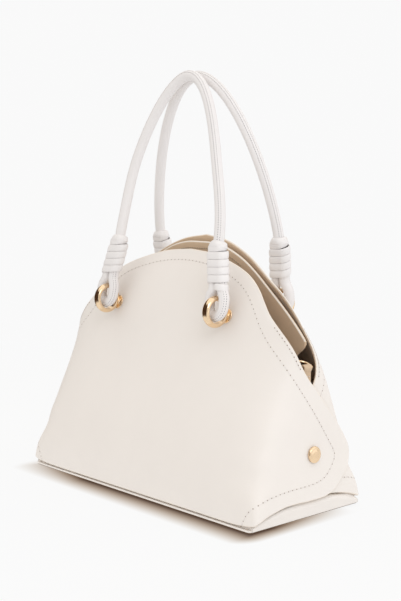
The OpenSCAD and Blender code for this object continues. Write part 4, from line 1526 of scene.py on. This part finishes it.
# Angles that stay sharp on a ring and a rivet, middle of a turned piece, rounding of a hoop's inner edges
HOOP_SHARP = 50
RIVET_SHARP = 60
TURNED_START = 0.0008
HOOP_FILLET = 0.0007
# Rounding of a ring's foot, how its neck widens down to it, and how deep the neck goes into the hoop
FOOT_ROUNDING = 0.0005
NECK_FLARE = ((0.0012, 0.0001), (0.0004, 0.0005), (0.0, 0.0012))
NECK_DEPTH = 0.0012
# A rivet's cap: in from its radius and up from its foot, then in from its radius and down from its top
RIVET_FOOT = ((0.0005, 0.0), (0.0001, 0.0003), (0.0, 0.0008))
RIVET_BEVEL = (
    (0.0, 0.0014), (0.00015, 0.0010), (0.0005, 0.0006), (0.0011, 0.00025), (0.0017, 0.0002),
    (0.0021, 0.00028), (0.0027, 0.00015),
)
# Shares of the cap's radius on its crown, and the crown's rise
RIVET_CROWN = (0.5, 0.3, 0.1)
RIVET_RISE = 0.0001


def hoop_profile():
    """Cross-section of a handle ring: radius and place along its axis, round outside and softened inside."""
    half = RING_BAND / 2
    centre = RING_OUTER - BAND_ROUND
    limit = math.asin(half / BAND_ROUND)
    profile = []
    for angle in np.linspace(-limit, limit, HOOP_STEPS):
        profile.append((centre + BAND_ROUND * math.cos(angle), BAND_ROUND * math.sin(angle)))
    inner = []
    for angle in np.radians(np.linspace(0, 90, FILLET_STEPS)):
        radius = RING_HOLE + HOOP_FILLET * (1 - math.sin(angle))
        inner.append((radius, half - HOOP_FILLET * (1 - math.cos(angle))))
    return profile + inner + [(radius, -along) for radius, along in inner[::-1]]


class BAG_OT_rings(bpy.types.Operator):
    """Make the polished handle rings, and finish their screws and washers"""

    bl_idname = "bag.rings"
    bl_label = "Handle Rings"

    def execute(self, context):
        parts = share_materials()
        around = circle(HOOP_SIDES)
        low = LAYER_GAP
        top = LAYER_GAP + FOOT_THICKNESS
        profile = [
            (TURNED_START, low), (FOOT_RADIUS - FOOT_ROUNDING, low), (FOOT_RADIUS, low + FOOT_ROUNDING),
            (FOOT_RADIUS, top - FOOT_ROUNDING), (FOOT_RADIUS - FOOT_ROUNDING, top),
        ]
        profile += [(NECK_RADIUS + out, top + above) for out, above in NECK_FLARE]
        profile.append((NECK_RADIUS, RING_STANDOFF - RING_HOLE - NECK_DEPTH))
        for front, row in ROWS:
            for side, label in SIDES:
                middle = ring_middle(front, side)
                shell = Shell()
                loops = []
                for radius, along in hoop_profile():
                    x = np.full(len(around), middle[0] + along)
                    y = middle[1] + radius * np.cos(around)
                    loops.append(np.stack([x, y, middle[2] + radius * np.sin(around)], axis=1))
                numbers = shell.loft(loops, caps=False)
                shell.join(numbers[-1], numbers[0])
                shell.loft(turned_loops(profile, *foot(front, side), FOOT_SIDES))
                name = f"{row}_{label}_ring"
                gilt = [parts["Polished Gilt"]]
                piece = shell.piece(name + "_gilt", "bag", "gilt_metal", gilt, sharp=HOOP_SHARP)
                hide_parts(name)
        for node in ("ring_screws", "ring_washers"):
            give_material(node, parts["Brushed Gilt"])
        return {"FINISHED"}


class BAG_OT_rivets(bpy.types.Operator):
    """Make the bevelled caps of the side rivets, and finish their posts"""

    bl_idname = "bag.rivets"
    bl_label = "Side Rivets"

    def execute(self, context):
        parts = share_materials()
        top = LAYER_GAP + RIVET_THICKNESS
        profile = [(TURNED_START, LAYER_GAP)]
        profile += [(RIVET_RADIUS - inset, LAYER_GAP + up) for inset, up in RIVET_FOOT]
        profile += [(RIVET_RADIUS - inset, top - down) for inset, down in RIVET_BEVEL]
        profile += [(RIVET_RADIUS * share, top + RIVET_RISE * (1 - share)) for share in RIVET_CROWN]
        for side, label in SIDES:
            turn = np.array(side * RIVET_TURN)
            place = panel_point(turn, RIVET_HEIGHT, True)
            facing = panel_frame(turn, RIVET_HEIGHT, True)[2]
            shell = Shell()
            shell.loft(turned_loops(profile, place, facing, RIVET_SIDES))
            gilt = [parts["Polished Gilt"]]
            piece = shell.piece(f"{label}_rivet_gilt", "bag", "gilt_metal", gilt, sharp=RIVET_SHARP)
            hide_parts(f"{label}_rivet_cap")
            give_material(f"{label}_rivet_post", parts["Brushed Gilt"])
        return {"FINISHED"}


# Corner of a strap ring beside its bar, points round its wire, and along its corners, bar and bow
RING_CORNER = 0.0017
WIRE_SIDES = 16
BEND_STEPS = 7
BAR_STEPS = 8
BOW_STEPS = 33
# A tab's strip: share of its thickness, how much narrower it is, its corner, and the angle that stays sharp
TAB_SHARE = 0.96
TAB_INSET = 0.0006
TAB_CORNER = 0.00035
TAB_SHARP = 50
# How far a tab's loop goes past half a turn, how low it closes up below the bar, and points along both
TAB_TURN = 0.35
TAB_CLOSE = 1.5
TAB_STEPS = 12
LOOP_STEPS = 24
# Stitches across a tab: distance from its sides, depth below the bar, pitch, thread and hole
TAB_ROW_INSET = 0.0018
TAB_ROW_DEPTH = 0.0075
TAB_PITCH = 0.0024
TAB_THREAD = 0.00022
TAB_HOLE = 0.0003


def strap_bar(side):
    """Place of a strap ring's bar, and its inward direction."""
    inside = BASE_WIDTH / 2 * float(smooth(PLAN_SHARES, (STRAP_RING_Z - TAB_LENGTH) / FRONT_HEIGHT, 1))
    bar_x = inside - LAP - PANEL_STACK - LAYER_GAP - TAB_THICKNESS
    return np.array([side * bar_x, STRAP_RING_Y, STRAP_RING_Z]), -side


def strap_ring_path():
    """Middle line of a strap ring in its own plane: the bar, a corner, the bow and the other corner."""
    half = STRAP_RING_RADIUS
    bend = np.linspace(0, np.pi / 2, BEND_STEPS)
    path = [(0.0, y) for y in np.linspace(-half + RING_CORNER, half - RING_CORNER, BAR_STEPS)]
    far = [(RING_CORNER * (1 - math.cos(a)), half - RING_CORNER * (1 - math.sin(a))) for a in bend[1:]]
    path += far
    bow = np.linspace(0, np.pi, BOW_STEPS)
    path += [(STRAP_RING_LEG + half * math.sin(a), half * math.cos(a)) for a in bow]
    return np.array(path + [(x, -y) for x, y in far[::-1]])


class BAG_OT_strap_rings(bpy.types.Operator):
    """Make the strap rings and the folded tabs that hold them"""

    bl_idname = "bag.strap_rings"
    bl_label = "Strap Rings"

    def execute(self, context):
        parts = share_materials()
        path = strap_ring_path()
        run = unit(np.roll(path, -1, 0) - np.roll(path, 1, 0))
        rest = math.radians(STRAP_RING_REST)
        around = circle(WIRE_SIDES)
        for side, label in SIDES:
            bar, inward = strap_bar(side)
            loops = []
            for (x, y), (run_x, run_y) in zip(path, run):
                flat = x + WIRE_RADIUS * np.cos(around) * run_y
                wide = y - WIRE_RADIUS * np.cos(around) * run_x
                up = WIRE_RADIUS * np.sin(around)
                out_x = flat * math.cos(rest) - up * math.sin(rest)
                out_z = flat * math.sin(rest) + up * math.cos(rest)
                loops.append(bar + np.stack([inward * out_x, inward * wide, out_z], axis=1))
            shell = Shell()
            numbers = shell.loft(loops, caps=False)
            shell.join(numbers[-1], numbers[0])
            name = f"{label}_strap_ring"
            piece = shell.piece(name + "_gilt", name, "gilt_metal", [parts["Polished Gilt"]])
            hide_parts(name)
            self.fold_tab(label, bar, inward, parts)
        return {"FINISHED"}

    def fold_tab(self, label, bar, inward, parts):
        """A strip folded over the bar and sewn to itself below it."""
        middle = TAB_THICKNESS / 2
        loop = WIRE_RADIUS + TAB_CLEARANCE + middle
        side = [(-middle, z) for z in np.linspace(middle - TAB_LENGTH, -loop * TAB_CLOSE, TAB_STEPS)]
        over = []
        for angle in np.linspace(-TAB_TURN, np.pi + TAB_TURN, LOOP_STEPS):
            over.append((-loop * math.cos(angle), loop * math.sin(angle)))
        path = np.array(side + over + [(-x, z) for x, z in side[::-1]])
        run = unit(np.gradient(path, axis=0))
        section = plate_outline(middle * TAB_SHARE, TAB_WIDTH / 2 - TAB_INSET, TAB_CORNER, 0.0)
        loops = []
        for (x, z), (run_x, run_z) in zip(path, run):
            out_x = x + section[:, 0] * run_z
            out_z = z - section[:, 0] * run_x
            loops.append(bar + np.stack([inward * out_x, section[:, 1], out_z], axis=1))
        shell = Shell()
        shell.loft(loops)
        name = f"{label}_strap_tab"
        # The tab is coloured with the lining's taupe, darker than its ivory leather, as painted shade in the
        # notch
        suede = [parts["Taupe Suede"]]
        piece = shell.piece(name + "_leather", "bag", "handle_leather", suede, sharp=TAB_SHARP)
        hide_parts(name)
        sewing = [parts["Ivory Thread"], parts["Needle Hole"]]
        reach = TAB_WIDTH / 2 - TAB_ROW_INSET
        across = np.linspace(-reach, reach, TAB_STEPS)
        for number, face in ((1, -1.0), (2, 1.0)):
            row = bar + np.array([(face * TAB_THICKNESS, y, -TAB_ROW_DEPTH) for y in across])
            facing = np.tile([face, 0.0, 0.0], (len(row), 1))
            look = (sewing, 0.0, TAB_THREAD, TAB_HOLE)
            sew(f"{name}_stitches_{number}", row, facing, "bag", "handle_leather", TAB_PITCH, *look)


class BAG_OT_stage(bpy.types.Operator):
    """Set the floor, the light and the camera"""

    bl_idname = "bag.stage"
    bl_label = "Stage"

    def execute(self, context):
        settings = context.scene.bag_stage
        scene = context.scene
        self.lay_floor(settings)
        self.light(settings)
        camera = bpy.data.objects.new("Camera", bpy.data.cameras.new("Camera"))
        camera.data.sensor_width = SENSOR
        camera.data.lens = CAMERA_LENS
        camera.data.clip_start = CAMERA_NEAR
        camera.location = CAMERA_PLACE
        camera.rotation_euler = (math.radians(90 - CAMERA_DIP), 0.0, math.radians(CAMERA_TURN))
        scene.collection.objects.link(camera)
        scene.camera = camera
        scene.view_settings.view_transform = "Standard"
        return {"FINISHED"}

    def lay_floor(self, settings):
        """A wide pale floor that keeps a little of the bag's real shadow, has a painted shadow round the
        base, and meets the backdrop without a line.
        """
        mesh = bpy.data.meshes.new("floor")
        corners = [(x * FLOOR_REACH, y * FLOOR_REACH, 0.0) for x, y in ((-1, -1), (1, -1), (1, 1), (-1, 1))]
        mesh.from_pydata(corners, [], [(0, 1, 2, 3)])
        floor = bpy.data.objects.new("floor", mesh)
        bpy.context.scene.collection.objects.link(floor)
        floor.location.z = -FLOOR_DROP
        material, graph, principled = new_material("Pale Floor")
        mesh.materials.append(material)
        colour = shade(settings.floor)
        where = graph.place()
        length = graph.put("ShaderNodeVectorMath", {0: where}, operation="LENGTH").outputs["Value"]
        reach = {"Value": length, "From Min": FLOOR_FADE[0], "From Max": FLOOR_FADE[1]}
        fade = graph.put("ShaderNodeMapRange", reach, interpolation_type="SMOOTHSTEP").outputs["Result"]
        bump = {"Strength": 0.05, "Distance": 0.0002, "Height": graph.noise(where, scale=220.0, detail=3.0)}
        normal = graph.put("ShaderNodeBump", bump).outputs["Normal"]
        plain = {"Base Color": colour, "Roughness": 0.9, "Specular IOR Level": 0.1, "Normal": normal}
        graph.feed(principled, plain)
        rays = graph.put("ShaderNodeLightPath", {}).outputs
        # Painted shadow round the base, which only camera rays see
        shaded = self.contact_shadow(graph, where, colour, settings.shadow_warmth)
        pale = graph.mix(rays["Is Camera Ray"], colour, shaded)
        # Painted dark reflection: further out, glossy rays see the floor in the dark colour
        dark = graph.times(self.toward_painted_reflection(graph, where), graph.spread(length, *DARK_REFLECTION_FOOT))
        dark = graph.times(dark, rays["Is Glossy Ray"])
        glow = graph.put("ShaderNodeEmission", {"Color": graph.mix(dark, pale, shade(settings.painted_dark_reflection))})
        # For other rays the floor glows with its plain colour, a painted bounce light on the bag
        seen = graph.maths("MAXIMUM", rays["Is Camera Ray"], rays["Is Glossy Ray"])
        far = graph.spread(fade, 0.0, 1.0, settings.floor_glow, 1.0)
        amount = graph.spread(seen, 0.0, 1.0, settings.floor_bounce, far)
        both = {"Fac": amount, 1: principled.outputs["BSDF"], 2: glow.outputs["Emission"]}
        surface = graph.put("ShaderNodeMixShader", both).outputs["Shader"]
        graph.feed(graph.tree.nodes["Material Output"], {"Surface": surface})

    def toward_painted_reflection(self, graph, place):
        """One toward the painted dark reflection at the front left, nothing elsewhere."""
        level = graph.put("ShaderNodeVectorMath", {0: place, 1: (1.0, 1.0, 0.0)}, operation="MULTIPLY")
        even = graph.put("ShaderNodeVectorMath", {0: level.outputs["Vector"]}, operation="NORMALIZE")
        way = {0: even.outputs["Vector"], 1: Vector(DARK_REFLECTION_WAY).normalized()}
        toward = graph.put("ShaderNodeVectorMath", way, operation="DOT_PRODUCT")
        return graph.spread(toward.outputs["Value"], *DARK_REFLECTION_SIDE)

    def contact_shadow(self, graph, where, floor_colour, warmth):
        """Painted shadow: floor colour that deepens and warms close to the base, less so at its left end and
        its back.
        """
        values = {"Place": (0.0, 0.0, 0.0), "Floor": floor_colour, "Warmth": warmth}
        group = Group("Contact Shadow", values, ("Color",))
        place = group.put("ShaderNodeSeparateXYZ", {0: group.given["Place"]}).outputs
        outside = []
        for axis, half, pace in ((0, BASE_WIDTH / 2, SHADOW_SIDE), (1, BASE_DEPTH / 2, 1.0)):
            away = group.maths("SUBTRACT", group.maths("ABSOLUTE", place[axis]), half)
            away = group.times(group.maths("MAXIMUM", away, 0.0), pace)
            outside.append(group.maths("POWER", away, 2.0))
        distance = group.maths("SQRT", group.maths("ADD", *outside))
        near = group.maths("POWER", group.spread(distance, 0.0, SHADOW_REACH, 1.0, 0.0), SHADOW_FALL)
        along = group.times(place[0], 1 / BASE_WIDTH)
        across = group.times(place[1], -1 / BASE_DEPTH)
        ends = group.spread(along, *SHADOW_LEFT, 0.0, SHADOW_DEPTH)
        ends = group.times(ends, group.spread(across, *SHADOW_BACK))
        kept = group.maths("SUBTRACT", 1.0, group.times(near, ends))
        channels = {}
        for channel in range(3):
            power = group.maths("ADD", group.times(group.given["Warmth"], float(channel)), 1.0)
            channels[channel] = group.maths("POWER", kept, power)
        tone = group.put("ShaderNodeCombineColor", channels).outputs["Color"]
        group.feed(group.end, {"Color": group.mix(1.0, group.given["Floor"], tone, "MULTIPLY")})
        values["Place"] = where
        return graph.put("ShaderNodeGroup", values, node_tree=group.tree).outputs["Color"]

    def light(self, settings):
        """Soft light from all round, a painted dark reflection that only glossy rays see, and two lamps."""
        world = bpy.data.worlds.new("Studio")
        bpy.context.scene.world = world
        world.use_nodes = True
        world.node_tree.nodes.clear()
        graph = Graph(world.node_tree)
        where = graph.place("Generated")
        height = graph.put("ShaderNodeSeparateXYZ", {0: where}).outputs["Z"]
        rays = graph.put("ShaderNodeLightPath", {}).outputs
        # Painted dark reflection: glossy rays see the world darker towards the front left
        dark = graph.times(self.toward_painted_reflection(graph, where), graph.spread(height, *DARK_REFLECTION_TOP, 1.0, 0.0))
        dark = graph.times(dark, rays["Is Glossy Ray"])
        tint = graph.mix(dark, shade(SKY_TINT), shade(settings.painted_dark_reflection))
        overhead = graph.times(graph.spread(height, *SKY_RISE), settings.surround)
        room = graph.put("ShaderNodeBackground", {"Color": tint, "Strength": overhead})
        backdrop = graph.put("ShaderNodeBackground", {"Color": shade(settings.floor), "Strength": 1.0})
        both = {"Fac": rays["Is Camera Ray"], 1: room.outputs[0], 2: backdrop.outputs[0]}
        surface = graph.put("ShaderNodeMixShader", both).outputs["Shader"]
        graph.put("ShaderNodeOutputWorld", {"Surface": surface})
        self.lamp("key", settings.key_power, settings.key_size, KEY_PLACE)
        self.lamp("fill", settings.fill_power, 2 * settings.key_size, FILL_PLACE)

    def lamp(self, name, power, size, place):
        """A square lamp that looks at the bag."""
        lamp = bpy.data.lights.new(name, "AREA")
        lamp.shape = "SQUARE"
        lamp.size = size
        lamp.energy = power
        lamp.color = LAMP_TINT
        holder = bpy.data.objects.new(name, lamp)
        holder.location = place
        aim = Vector(LAMP_AIM) - holder.location
        holder.rotation_euler = aim.to_track_quat("-Z", "Y").to_euler()
        bpy.context.scene.collection.objects.link(holder)


class BAG_PT_workshop(bpy.types.Panel):
    """Lists the bag's pieces and settings"""

    bl_label = "Top Handle Bag"
    bl_idname = "BAG_PT_workshop"
    bl_space_type = "VIEW_3D"
    bl_region_type = "UI"
    bl_category = "Bag"

    def draw(self, context):
        layout = self.layout
        for setting, _ in SETTINGS:
            group = getattr(context.scene, setting)
            box = layout.box()
            for name in group.__annotations__:
                box.prop(group, name)
        for operator in OPERATORS:
            layout.operator(operator.bl_idname)


OPERATORS = (
    BAG_OT_stage,
    BAG_OT_panels,
    BAG_OT_linings,
    BAG_OT_base,
    BAG_OT_divider,
    BAG_OT_handles,
    BAG_OT_wraps,
    BAG_OT_rings,
    BAG_OT_rivets,
    BAG_OT_strap_rings,
)
SETTINGS = (
    ("bag_leather", BagLeather),
    ("bag_lining", BagLining),
    ("bag_fittings", BagFittings),
    ("bag_stage", BagStage),
)


def register():
    """Adds the settings, operators and panel to Blender."""
    for name, group in SETTINGS:
        bpy.utils.register_class(group)
        setattr(bpy.types.Scene, name, PointerProperty(type=group))
    for operator in OPERATORS:
        bpy.utils.register_class(operator)
    bpy.utils.register_class(BAG_PT_workshop)


def unregister():
    """Takes them out again."""
    bpy.utils.unregister_class(BAG_PT_workshop)
    for operator in reversed(OPERATORS):
        bpy.utils.unregister_class(operator)
    for name, group in reversed(SETTINGS):
        delattr(bpy.types.Scene, name)
        bpy.utils.unregister_class(group)


def main():
    """Makes the whole bag."""
    register()
    for operator in OPERATORS:
        group, name = operator.bl_idname.split(".")
        getattr(getattr(bpy.ops, group), name)()


if __name__ == "__main__":
    main()
